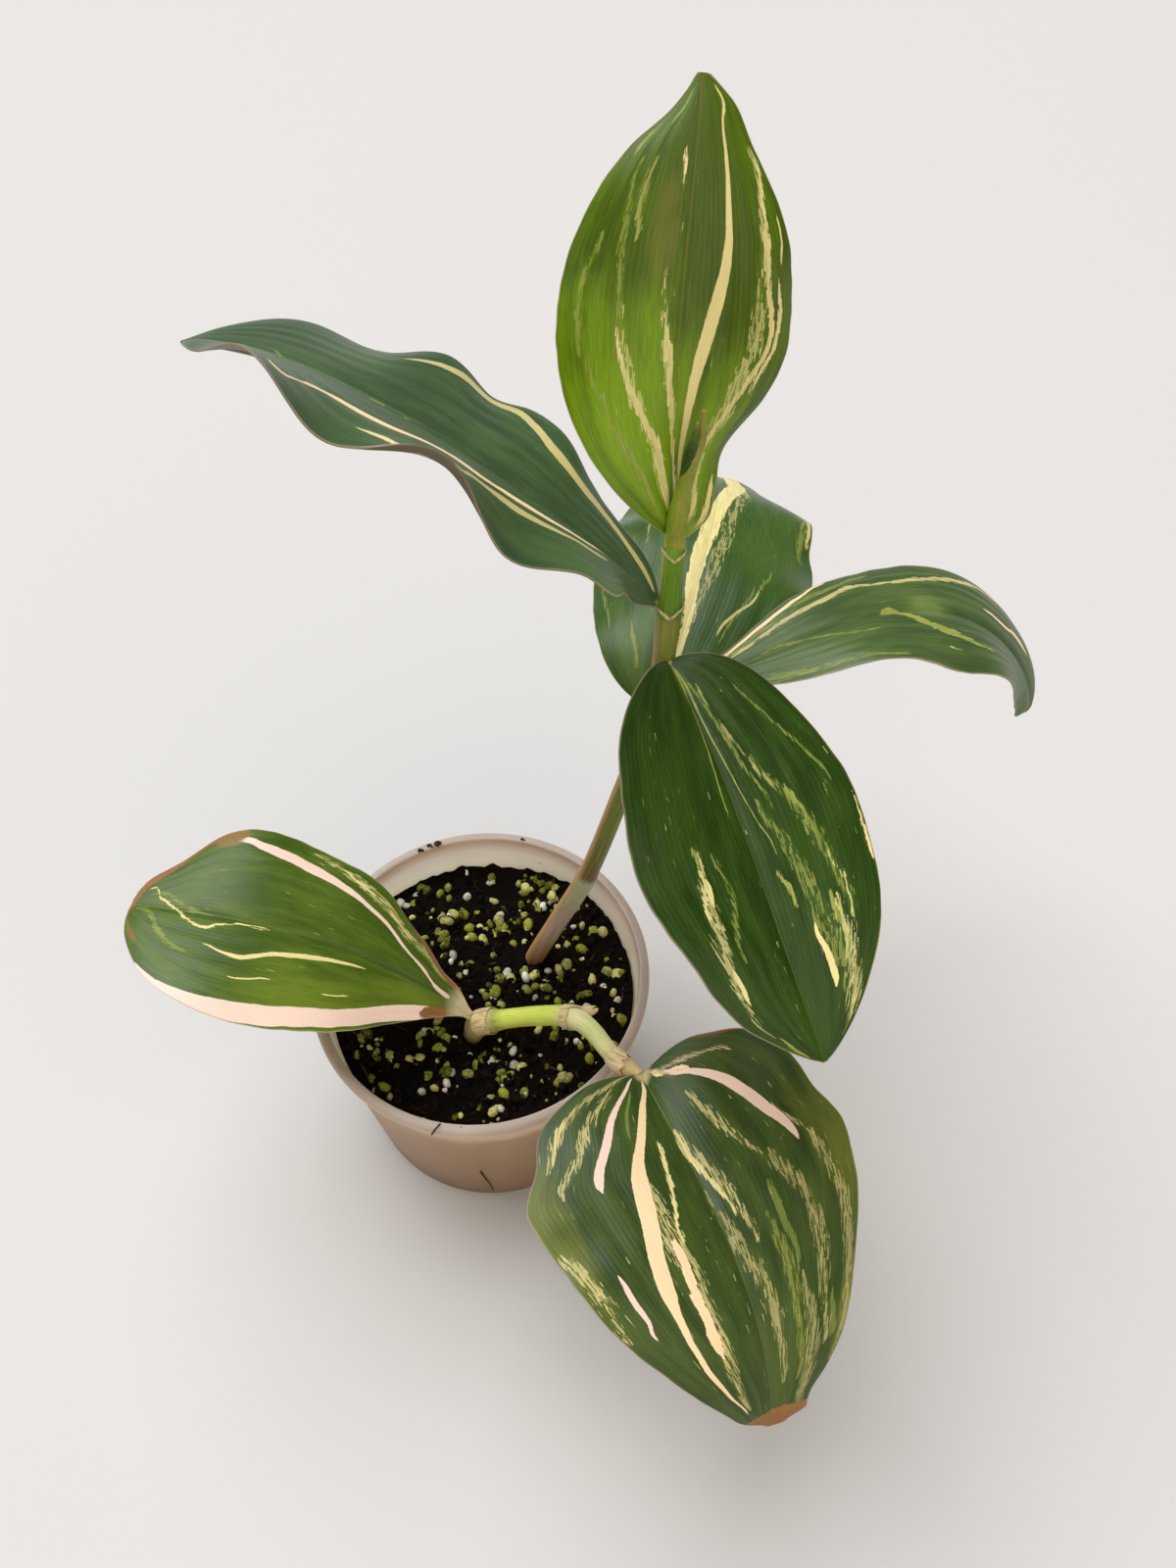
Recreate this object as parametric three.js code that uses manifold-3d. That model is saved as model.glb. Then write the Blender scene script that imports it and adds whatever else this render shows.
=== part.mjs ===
// Potted variegated spiral ginger, in millimetres with +Z up.
// The origin is the centre of the pot's underside, on the surface that it stands on.
// The plant leans to +X. Seven leaves sit in a spiral round two canes, and an eighth is
// still rolled up at the top of the tall one.
import * as THREE from 'three';
import { mergeVertices } from 'three/addons/utils/BufferGeometryUtils.js';
import Module from 'manifold-3d';

const wasm = await Module();
wasm.setup();

// Clearance between neighbouring solids.
const GAP = 0.3;

// Nursery pot: a thin tapered cup with a rounded rim and drain holes round its floor.
const POT = {
  height: 65.5,
  rimRadius: 45,
  rimDepth: 3,
  rimOverhang: 1.6,
  rimRounding: 1.3,
  rimChamfer: 0.4,
  baseRadius: 37.5,
  baseRounding: 1.5,
  wall: 1,
  floor: 1.5,
  sides: 56,
  drainHoles: 8,
  drainRadius: 2.5,
  drainCircle: 27,
};

// Potting mix: its mean level, the height of its lumps, and the granules in its surface.
const SOIL = {
  level: 54,
  lump: 1.2,
  sides: 32,
  ringCount: 5,
  granules: 50,
  granuleRadius: [1.2, 2.2],
  granuleSunk: 0.35,
  granuleWallGap: 0.5,
  granuleCaneGap: 4.2,
  hub: 1,
  seed: 11,
};

// Canes: the points that the centre line passes through, and the radius at stations along
// it, each as [part of the length, radius]. Steps are the edges of papery leaf sheaths,
// and bulges are the nodes that leaves grow from.
const TALL_CANE = {
  line: [[7, 9, 30], [13.5, 10, 53], [20.5, 11, 71], [29, 12, 93], [37, 14.5, 122],
    [42, 17, 141], [46, 20.5, 162], [47, 25, 173], [48, 31, 184.5]],
  stations: [[0, 2.5], [0.1, 2.8], [0.36, 2.8], [0.375, 3.1], [0.39, 2.5], [0.6, 2.3], [0.72, 2.2],
    [0.76, 2.7], [0.8, 2.5], [0.83, 2.3], [0.89, 2.6], [0.925, 3], [0.935, 2.5], [0.97, 2.3],
    [0.985, 2.6], [1, 2.5]],
};
const SHORT_CANE = {
  line: [[-7, -9, 34], [-2.5, -12.5, 53], [0, -13, 61], [5, -14, 64.5], [15, -16.5, 71.5],
    [24.5, -20, 77.5], [29, -25, 81], [35, -34.5, 84.5], [39.5, -38.5, 86]],
  stations: [[0, 2.4], [0.22, 2.8], [0.3, 3.6], [0.36, 3.7], [0.41, 3], [0.5, 2.6], [0.66, 2.6],
    [0.71, 3], [0.76, 2.9], [0.9, 2.5], [0.93, 2.9], [0.97, 2.7], [1, 1.7]],
};
const STALK = { sides: 10, steps: 22 };

// Torn end of a dry sheath, standing out of the short cane's bend.
const SHEATH_STUB = { from: [23, -19.5, 77.5], to: [31.5, -18.5, 79.5], width: 4.5, thickness: 0.8 };

// Rolled new leaf, standing in the fold of the crown leaf.
const SPEAR = {
  line: [[48, 31.3, 185.2], [48.3, 33, 190.5], [49.5, 35.2, 196.4], [51, 36.8, 202],
    [52.6, 37.8, 206.5], [53.1, 39.8, 212]],
  stations: [[0, 2.1], [0.2, 2], [0.45, 1.5], [0.65, 1.4], [0.78, 1.1], [0.88, 0.7], [1, 0.35]],
};

// Leaves. A leaf's midrib starts at base and is length long. Its heading, turned from +X
// towards +Y, its rise above level and its roll about the midrib are in degrees at its
// base, middle and tip. The blade is width across. Low powers round its base or tip off,
// and high ones draw it out. Each half leaves the midrib at the angle fold and bends down
// by bend on its way to the margin. clasp folds the base up further, like a channel, and
// lobe sets the margins back towards the base. The margins ripple count times along the
// leaf, and left and right give each one's height and its phase in turns.
const LEAVES = {
  leaf_crown: {
    base: [48, 34.5, 185], length: 85, width: 48, basePower: 0.9, tipPower: 0.9,
    heading: [102, 81, 87], rise: [77, 59, 40], roll: [24, 14, 5],
    fold: -3, bend: 30, clasp: 55, lobe: 0,
    ripple: { count: 3.1, left: [0.6, 0.75], right: [1.2, 0.1] },
  },
  leaf_far_left: {
    base: [44.5, 24.5, 175], length: 108, width: 55, basePower: 1, tipPower: 0.5,
    heading: [204, 163, 172], rise: [64, 29, 3], roll: [-26, 18, 27],
    fold: 11, bend: 8, clasp: 25, lobe: -0.1,
    ripple: { count: 3.4, left: [3.7, 0.5], right: [2, 0.15] },
  },
  leaf_back: {
    base: [45.5, 20, 148], length: 100, width: 55, basePower: 0.6, tipPower: 0.6,
    heading: [69, 77, 86], rise: [23, -5, -41], roll: [-2, 1, 3],
    fold: -4, bend: 25, clasp: 25, lobe: 0.2,
    ripple: { count: 2.9, left: [2.2, -0.25], right: [2.2, 0.2] },
  },
  leaf_right: {
    base: [47.5, 19.5, 154], length: 110, width: 34, basePower: 1.2, tipPower: 0.8,
    heading: [4, 19, -43], rise: [19, -11, -73], roll: [-7, -3, -1],
    fold: 6, bend: 17, clasp: 25, lobe: 0,
    ripple: { count: 2.5, left: [1, 0.5], right: [2, 0.25] },
  },
  leaf_front: {
    base: [47, 18, 165], length: 87, width: 54, basePower: 0.7, tipPower: 0.8,
    heading: [-63, -72, -70], rise: [-19, -21, -26], roll: [-13, -13, 0],
    fold: 12, bend: 12, clasp: 25, lobe: 0.3,
    ripple: { count: 2.9, left: [0.5, 0.1], right: [1, 0.25] },
  },
  leaf_low_left: {
    base: [-2.5, -12.5, 64], length: 92, width: 54, basePower: 1.1, tipPower: 0.6,
    heading: [159, 173, 170], rise: [47, 26, -5], roll: [2, 2, 4],
    fold: 9, bend: 14, clasp: 25, lobe: 0,
    ripple: { count: 2.6, left: [0.7, 0.15], right: [1, 0.3] },
  },
  leaf_low_front: {
    base: [41, -39.5, 86], length: 81, width: 75, basePower: 0.45, tipPower: 0.8,
    heading: [-68, -68, -90], rise: [6, -9, -51], roll: [7, -13, -21],
    fold: 8, bend: 17, clasp: 25, lobe: 0.2,
    ripple: { count: 2.5, left: [1.2, 0.1], right: [1.3, 0.1] },
  },
};
const BLADE = {
  thickness: 0.8,
  rows: 20,
  halfColumns: 4,
  stalkHalfWidth: 1.4,
  tipHalfWidth: 0.4,
  claspFade: 8,
  rippleReach: 1.7,
};

const COLOURS = {
  pot: 0xd8d0cc,
  soil: 0x2a211c,
  cane: 0x7c8a3c,
  leaf: 0x3f5f35,
  youngLeaf: 0x7d9a2c,
};

// Turns a closed geometry into a solid that can be joined and cut.
function toSolid(geometry) {
  const bare = geometry.clone();
  bare.deleteAttribute('normal');
  bare.deleteAttribute('uv');
  const merged = mergeVertices(bare, 1e-5);
  return new wasm.Manifold(new wasm.Mesh({
    numProp: 3,
    vertProperties: new Float32Array(merged.attributes.position.array),
    triVerts: new Uint32Array(merged.index.array),
  }));
}

// Turns a solid back into a geometry, and keeps only its largest body.
function toGeometry(solid) {
  const bodies = solid.decompose().sort((a, b) => b.volume() - a.volume());
  const mesh = bodies[0].getMesh();
  const geometry = new THREE.BufferGeometry();
  geometry.setAttribute('position', new THREE.BufferAttribute(mesh.vertProperties.slice(), 3));
  geometry.setIndex(new THREE.BufferAttribute(mesh.triVerts.slice(), 1));
  geometry.computeVertexNormals();
  return geometry;
}

// Repeatable random numbers from 0 to 1.
function randomSource(seed) {
  let state = seed;
  return () => {
    state = (state + 0x6d2b79f5) | 0;
    let mixed = Math.imul(state ^ (state >>> 15), 1 | state);
    mixed = (mixed + Math.imul(mixed ^ (mixed >>> 7), 61 | mixed)) ^ mixed;
    return ((mixed ^ (mixed >>> 14)) >>> 0) / 4294967296;
  };
}

// Value at part, read off a line through [part, value] stations.
function atStation(stations, part) {
  const next = Math.max(1, stations.findIndex(([place]) => place >= part));
  const [placeA, valueA] = stations[next - 1];
  const [placeB, valueB] = stations[next];
  return THREE.MathUtils.mapLinear(part, placeA, placeB, valueA, valueB);
}

// Closed skin over rings of points that all have the same count, with flat ends.
function skinRings(rings) {
  const count = rings[0].length;
  const points = rings.flat();
  const triangles = [];
  for (let ring = 0; ring + 1 < rings.length; ring += 1) {
    for (let side = 0; side < count; side += 1) {
      const here = ring * count + side;
      const beside = ring * count + ((side + 1) % count);
      triangles.push(here, beside, beside + count, here, beside + count, here + count);
    }
  }
  const last = (rings.length - 1) * count;
  for (let side = 1; side + 1 < count; side += 1) {
    triangles.push(0, side + 1, side, last, last + side, last + side + 1);
  }
  const geometry = new THREE.BufferGeometry().setFromPoints(points);
  geometry.setIndex(triangles);
  return geometry;
}

// Smooth centre line through points.
function smoothLine(line) {
  return new THREE.CatmullRomCurve3(line.map((point) => new THREE.Vector3(...point)), false, 'centripetal');
}

// Round stalk along a line, with its radius given at stations and made larger by margin.
// It has a ring at each station and between them wherever the stations are far apart.
function stalk({ line, stations }, margin = 0) {
  const curve = smoothLine(line);
  const places = stations.map(([part]) => part);
  for (let step = 1; step < STALK.steps; step += 1) {
    const part = step / STALK.steps;
    const nearest = Math.min(...places.map((place) => Math.abs(place - part)));
    if (nearest > 0.3 / STALK.steps) places.push(part);
  }
  const side = new THREE.Vector3(0, 1, 0);
  const rings = places.sort((a, b) => a - b).map((part) => {
    const centre = curve.getPointAt(part);
    const along = curve.getTangentAt(part);
    if (margin > 0 && part === 0) centre.addScaledVector(along, -margin);
    if (margin > 0 && part === 1) centre.addScaledVector(along, margin);
    const across = new THREE.Vector3().crossVectors(side, along).normalize();
    const up = new THREE.Vector3().crossVectors(along, across);
    const radius = atStation(stations, part) + margin;
    return Array.from({ length: STALK.sides }, (_, index) => {
      const turn = (2 * Math.PI * index) / STALK.sides;
      return centre.clone()
        .addScaledVector(across, radius * Math.cos(turn))
        .addScaledVector(up, radius * Math.sin(turn));
    });
  });
  return skinRings(rings);
}

// Value of a smooth curve through three values at the base, middle and tip of a leaf.
function throughThree([base, middle, tip], part) {
  return base * (1 - part) * (1 - 2 * part) + middle * 4 * part * (1 - part) + tip * part * (2 * part - 1);
}

// Direction of the midrib, the blade's left side and its upper face at one place.
function leafFrame(leaf, part) {
  const heading = THREE.MathUtils.degToRad(throughThree(leaf.heading, part));
  const rise = THREE.MathUtils.degToRad(throughThree(leaf.rise, part));
  const roll = THREE.MathUtils.degToRad(throughThree(leaf.roll, part));
  const ahead = new THREE.Vector3(
    Math.cos(rise) * Math.cos(heading), Math.cos(rise) * Math.sin(heading), Math.sin(rise));
  const level = new THREE.Vector3(-Math.sin(heading), Math.cos(heading), 0);
  const upright = new THREE.Vector3().crossVectors(ahead, level);
  const left = level.clone().multiplyScalar(Math.cos(roll)).addScaledVector(upright, Math.sin(roll));
  const up = upright.clone().multiplyScalar(Math.cos(roll)).addScaledVector(level, -Math.sin(roll));
  return { ahead, left, up };
}

// Half of the blade's width at one place along the leaf.
function halfWidth(leaf, part) {
  const widest = leaf.basePower / (leaf.basePower + leaf.tipPower);
  const shape = (part / widest) ** leaf.basePower * ((1 - part) / (1 - widest)) ** leaf.tipPower;
  const least = THREE.MathUtils.lerp(BLADE.stalkHalfWidth, BLADE.tipHalfWidth, part);
  return Math.hypot((leaf.width / 2) * shape, least);
}

// Rows of points on the middle of a leaf's thickness, each from its right margin to its left.
function leafRows(leaf) {
  const midrib = new THREE.Vector3(...leaf.base);
  const walkSteps = 10;
  const rows = [];
  let reached = 0;
  for (let row = 0; row <= BLADE.rows; row += 1) {
    const even = row / BLADE.rows;
    const part = (even + (1 - Math.cos(Math.PI * even)) / 2) / 2;
    const step = (part - reached) / walkSteps;
    for (let walked = 0; walked < walkSteps; walked += 1) {
      const { ahead } = leafFrame(leaf, reached + (walked + 0.5) * step);
      midrib.addScaledVector(ahead, leaf.length * step);
    }
    reached = part;
    const frame = leafFrame(leaf, part);
    const half = halfWidth(leaf, part);
    const setBack = leaf.lobe * (1 - part) ** 3;
    const swell = Math.sqrt(Math.sin(Math.PI * part));
    const points = [];
    for (const [hand, [height, phase]] of [[-1, leaf.ripple.right], [1, leaf.ripple.left]]) {
      let out = 0;
      let lift = 0;
      const side = [midrib.clone()];
      for (let column = 1; column <= BLADE.halfColumns; column += 1) {
        const share = column / BLADE.halfColumns;
        const middle = (column - 0.5) / BLADE.halfColumns;
        const claspAngle = leaf.clasp * (1 - part) ** BLADE.claspFade;
        const slope = THREE.MathUtils.degToRad(leaf.fold + claspAngle - leaf.bend * middle);
        out += Math.cos(slope) / BLADE.halfColumns;
        lift += Math.sin(slope) / BLADE.halfColumns;
        const wave = height * swell * share ** BLADE.rippleReach
          * Math.sin(2 * Math.PI * (leaf.ripple.count * part + phase));
        side.push(midrib.clone()
          .addScaledVector(frame.left, hand * half * out)
          .addScaledVector(frame.up, half * lift + wave)
          .addScaledVector(frame.ahead, -half * setBack * share));
      }
      points.push(hand < 0 ? side.reverse() : side.slice(1));
    }
    rows.push(points.flat());
  }
  return rows;
}

// Closed blade of even thickness on rows of middle points. The top and the bottom are split
// into triangles alike, so that they stay apart.
function blade(rows, thickness) {
  const height = rows.length;
  const width = rows[0].length;
  const top = [];
  const bottom = [];
  rows.forEach((row, r) => row.forEach((point, c) => {
    const down = new THREE.Vector3()
      .subVectors(rows[Math.min(r + 1, height - 1)][c], rows[Math.max(r - 1, 0)][c]);
    const over = new THREE.Vector3()
      .subVectors(row[Math.min(c + 1, width - 1)], row[Math.max(c - 1, 0)]);
    const normal = down.cross(over).normalize();
    top.push(point.clone().addScaledVector(normal, thickness / 2));
    bottom.push(point.clone().addScaledVector(normal, -thickness / 2));
  }));
  const offset = top.length;
  const triangles = [];
  for (let r = 0; r + 1 < height; r += 1) {
    for (let c = 0; c + 1 < width; c += 1) {
      const a = r * width + c;
      const [b, d, e] = [a + 1, a + width, a + width + 1];
      const split = c < (width - 1) / 2 ? [[a, d, e], [a, e, b]] : [[a, d, b], [b, d, e]];
      split.forEach(([p, q, s]) => triangles.push(p, q, s, p + offset, s + offset, q + offset));
    }
  }
  const border = [];
  for (let c = 0; c + 1 < width; c += 1) border.push(c);
  for (let r = 0; r + 1 < height; r += 1) border.push(r * width + width - 1);
  for (let c = width - 1; c > 0; c -= 1) border.push((height - 1) * width + c);
  for (let r = height - 1; r > 0; r -= 1) border.push(r * width);
  border.forEach((here, index) => {
    const next = border[(index + 1) % border.length];
    triangles.push(here, next, next + offset, here, next + offset, here + offset);
  });
  const geometry = new THREE.BufferGeometry().setFromPoints([...top, ...bottom]);
  geometry.setIndex(triangles);
  return geometry;
}

// Outer radius of the pot's wall at a height.
function potRadius(height) {
  const topRadius = POT.rimRadius - POT.rimOverhang;
  return THREE.MathUtils.mapLinear(height, 0, POT.height, POT.baseRadius, topRadius);
}

function makePot() {
  const profile = new THREE.Path();
  const rimBottom = POT.height - POT.rimDepth;
  profile.moveTo(0, 0);
  profile.lineTo(POT.baseRadius - POT.baseRounding, 0);
  profile.quadraticCurveTo(POT.baseRadius, 0, potRadius(POT.baseRounding), POT.baseRounding);
  profile.lineTo(potRadius(rimBottom), rimBottom);
  profile.lineTo(POT.rimRadius, rimBottom + POT.rimChamfer);
  profile.lineTo(POT.rimRadius, POT.height - POT.rimRounding);
  profile.quadraticCurveTo(POT.rimRadius, POT.height, POT.rimRadius - POT.rimRounding, POT.height);
  profile.lineTo(potRadius(POT.height) - POT.wall, POT.height - POT.rimChamfer);
  profile.lineTo(potRadius(POT.floor) - POT.wall, POT.floor);
  profile.lineTo(0, POT.floor);
  const cup = new THREE.LatheGeometry(profile.getPoints(3), POT.sides);
  cup.rotateX(Math.PI / 2);
  let solid = toSolid(cup);
  for (let hole = 0; hole < POT.drainHoles; hole += 1) {
    const turn = (2 * Math.PI * (hole + 0.5)) / POT.drainHoles;
    const drain = new THREE.CylinderGeometry(POT.drainRadius, POT.drainRadius, 4 * POT.floor, 12);
    drain.rotateX(Math.PI / 2);
    drain.translate(POT.drainCircle * Math.cos(turn), POT.drainCircle * Math.sin(turn), 0);
    solid = solid.subtract(toSolid(drain));
  }
  return toGeometry(solid);
}

// Height of the soil's surface at one place: a few low swells.
function soilHeight(x, y) {
  const swell = Math.sin(x / 7 + 1) * Math.cos(y / 9) + 0.6 * Math.sin((x + 2 * y) / 11);
  return SOIL.level + SOIL.lump * swell;
}

function makeSoil(holes) {
  const bottom = POT.floor + GAP;
  const wallGap = POT.wall + GAP;
  const outer = (height) => potRadius(height) - wallGap / Math.cos(Math.PI / SOIL.sides);
  const ringAt = (radius, heightOf) => Array.from({ length: SOIL.sides }, (_, index) => {
    const turn = (2 * Math.PI * index) / SOIL.sides;
    const [x, y] = [radius * Math.cos(turn), radius * Math.sin(turn)];
    return new THREE.Vector3(x, y, heightOf(x, y));
  });
  const rings = [ringAt(SOIL.hub, () => bottom), ringAt(outer(bottom), () => bottom)];
  const surfaceRadius = outer(SOIL.level - 2 * SOIL.lump);
  for (let ring = SOIL.ringCount; ring > 0; ring -= 1) {
    rings.push(ringAt((surfaceRadius * ring) / SOIL.ringCount, soilHeight));
  }
  rings.push(ringAt(SOIL.hub, soilHeight));
  let solid = toSolid(skinRings(rings));
  const random = randomSource(SOIL.seed);
  const canes = [TALL_CANE, SHORT_CANE].flatMap(({ line }) => smoothLine(line).getPoints(60));
  const placed = [];
  for (let tries = 0; placed.length < SOIL.granules && tries < 3000; tries += 1) {
    const radius = THREE.MathUtils.lerp(...SOIL.granuleRadius, random());
    const reach = (surfaceRadius - radius - SOIL.granuleWallGap) * Math.sqrt(random());
    const turn = 2 * Math.PI * random();
    const [x, y] = [reach * Math.cos(turn), reach * Math.sin(turn)];
    const centre = new THREE.Vector3(x, y, soilHeight(x, y) + radius * (1 - 2 * SOIL.granuleSunk));
    const clearOfCanes = canes.every((point) => point.distanceTo(centre) > radius + SOIL.granuleCaneGap);
    const clearOfOthers = placed.every((other) => other.centre.distanceTo(centre) > other.radius + radius);
    if (clearOfCanes && clearOfOthers) placed.push({ centre, radius });
  }
  placed.forEach(({ centre, radius }) => {
    const grain = new THREE.IcosahedronGeometry(radius, 0);
    grain.scale(1, 0.8 + 0.3 * random(), 0.75 + 0.2 * random());
    grain.rotateZ(Math.PI * random());
    grain.translate(centre.x, centre.y, centre.z);
    solid = solid.add(toSolid(grain));
  });
  holes.forEach((hole) => {
    solid = solid.subtract(hole);
  });
  return toGeometry(solid);
}

// Flat torn blade between two points, as wide as the stub where it starts.
function makeStub() {
  const from = new THREE.Vector3(...SHEATH_STUB.from);
  const to = new THREE.Vector3(...SHEATH_STUB.to);
  const across = new THREE.Vector3().subVectors(to, from).cross(new THREE.Vector3(0, 0, 1)).normalize();
  const widths = [1, 1, 0.8, 0.45];
  const rows = widths.map((share, index) => {
    const centre = from.clone().lerp(to, index / (widths.length - 1));
    return [0.5, 0, -0.5].map((place) => (
      centre.clone().addScaledVector(across, SHEATH_STUB.width * share * place)));
  });
  return blade(rows, SHEATH_STUB.thickness);
}

const model = new THREE.Group();

function addPart(name, geometry, colour, roughness) {
  const material = new THREE.MeshStandardMaterial({ color: colour, roughness, metalness: 0 });
  const mesh = new THREE.Mesh(geometry, material);
  mesh.name = name;
  model.add(mesh);
}

const tallCane = toSolid(stalk(TALL_CANE));
const shortCane = toSolid(stalk(SHORT_CANE)).add(toSolid(makeStub()));
const spear = toSolid(stalk(SPEAR));
const clearances = [stalk(TALL_CANE, GAP), stalk(SHORT_CANE, GAP)].map(toSolid);
const spearClearance = toSolid(stalk(SPEAR, GAP));

addPart('pot', makePot(), COLOURS.pot, 0.35);
addPart('soil', makeSoil(clearances), COLOURS.soil, 0.95);
addPart('tall_cane', toGeometry(tallCane), COLOURS.cane, 0.5);
addPart('short_cane', toGeometry(shortCane), COLOURS.cane, 0.5);
addPart('leaf_spear', toGeometry(spear), COLOURS.youngLeaf, 0.45);
for (const [name, leaf] of Object.entries(LEAVES)) {
  let solid = toSolid(blade(leafRows(leaf), BLADE.thickness));
  clearances.concat(spearClearance).forEach((clearance) => {
    solid = solid.subtract(clearance);
  });
  addPart(name, toGeometry(solid), name === 'leaf_crown' ? COLOURS.youngLeaf : COLOURS.leaf, 0.4);
}

export default model;
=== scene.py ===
"""Dresses a young variegated spiral ginger in its frosted nursery pot.

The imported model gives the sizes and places. Each leaf is built again from the same few
angles and widths as its plain solid, with finer ripples, veins and margins, and its cream
and pink stripes are drawn along the veins by its material.
"""

import math
from collections import namedtuple
from functools import partial

import bmesh
import bpy
import numpy as np
from bpy.props import FloatProperty, FloatVectorProperty, IntProperty, PointerProperty
from mathutils import Matrix, Vector, noise


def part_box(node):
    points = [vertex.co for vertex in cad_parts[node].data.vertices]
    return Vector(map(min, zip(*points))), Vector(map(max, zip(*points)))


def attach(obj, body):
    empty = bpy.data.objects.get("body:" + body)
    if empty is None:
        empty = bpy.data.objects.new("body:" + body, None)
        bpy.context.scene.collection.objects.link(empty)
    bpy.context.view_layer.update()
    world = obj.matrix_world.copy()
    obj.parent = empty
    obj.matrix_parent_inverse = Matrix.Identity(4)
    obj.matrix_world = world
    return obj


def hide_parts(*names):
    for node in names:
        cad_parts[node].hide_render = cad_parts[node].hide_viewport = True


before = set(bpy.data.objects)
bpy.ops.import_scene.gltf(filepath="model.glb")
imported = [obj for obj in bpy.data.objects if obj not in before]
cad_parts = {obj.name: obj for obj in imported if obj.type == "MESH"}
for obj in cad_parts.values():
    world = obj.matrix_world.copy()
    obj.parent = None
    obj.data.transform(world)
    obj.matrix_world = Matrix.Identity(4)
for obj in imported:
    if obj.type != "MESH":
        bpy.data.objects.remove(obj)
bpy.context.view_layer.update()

bl_info = {
    "name": "Potted spiral ginger",
    "version": (1, 0, 0),
    "blender": (4, 5, 0),
    "location": "View3D > Sidebar > Ginger",
    "description": "Builds a young variegated spiral ginger in a frosted nursery pot",
    "category": "Add Mesh",
}

MM = 0.001
BODY = "root"


def linear(code, alpha=1.0):
    """Turns an sRGB hex value into a linear colour."""
    parts = [((code >> shift) & 255) / 255 for shift in (16, 8, 0)]
    curve = [c / 12.92 if c <= 0.04045 else ((c + 0.055) / 1.055) ** 2.4 for c in parts]
    return (*curve, alpha)


# Leaves, with lengths in mm and angles in degrees. A leaf's midrib starts at base. Its
# heading, turned from +X towards +Y, its rise above level and its roll are given at its
# base, middle and tip. Low powers round the blade's base or tip off, and high ones draw it
# out. Each half leaves the midrib at the angle fold and bends down by bend on its way to
# the margin, clasp folds the base up like a channel, and lobe sets the margins back. The
# margins ripple waves times, and left and right give each one's height and phase in turns.
Leaf = namedtuple(
    "Leaf",
    "base length width base_power tip_power heading rise roll fold bend clasp lobe waves "
    "left right tone under rib foot margin_shifts stripes patches curls",
    defaults=((),),
)

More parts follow.
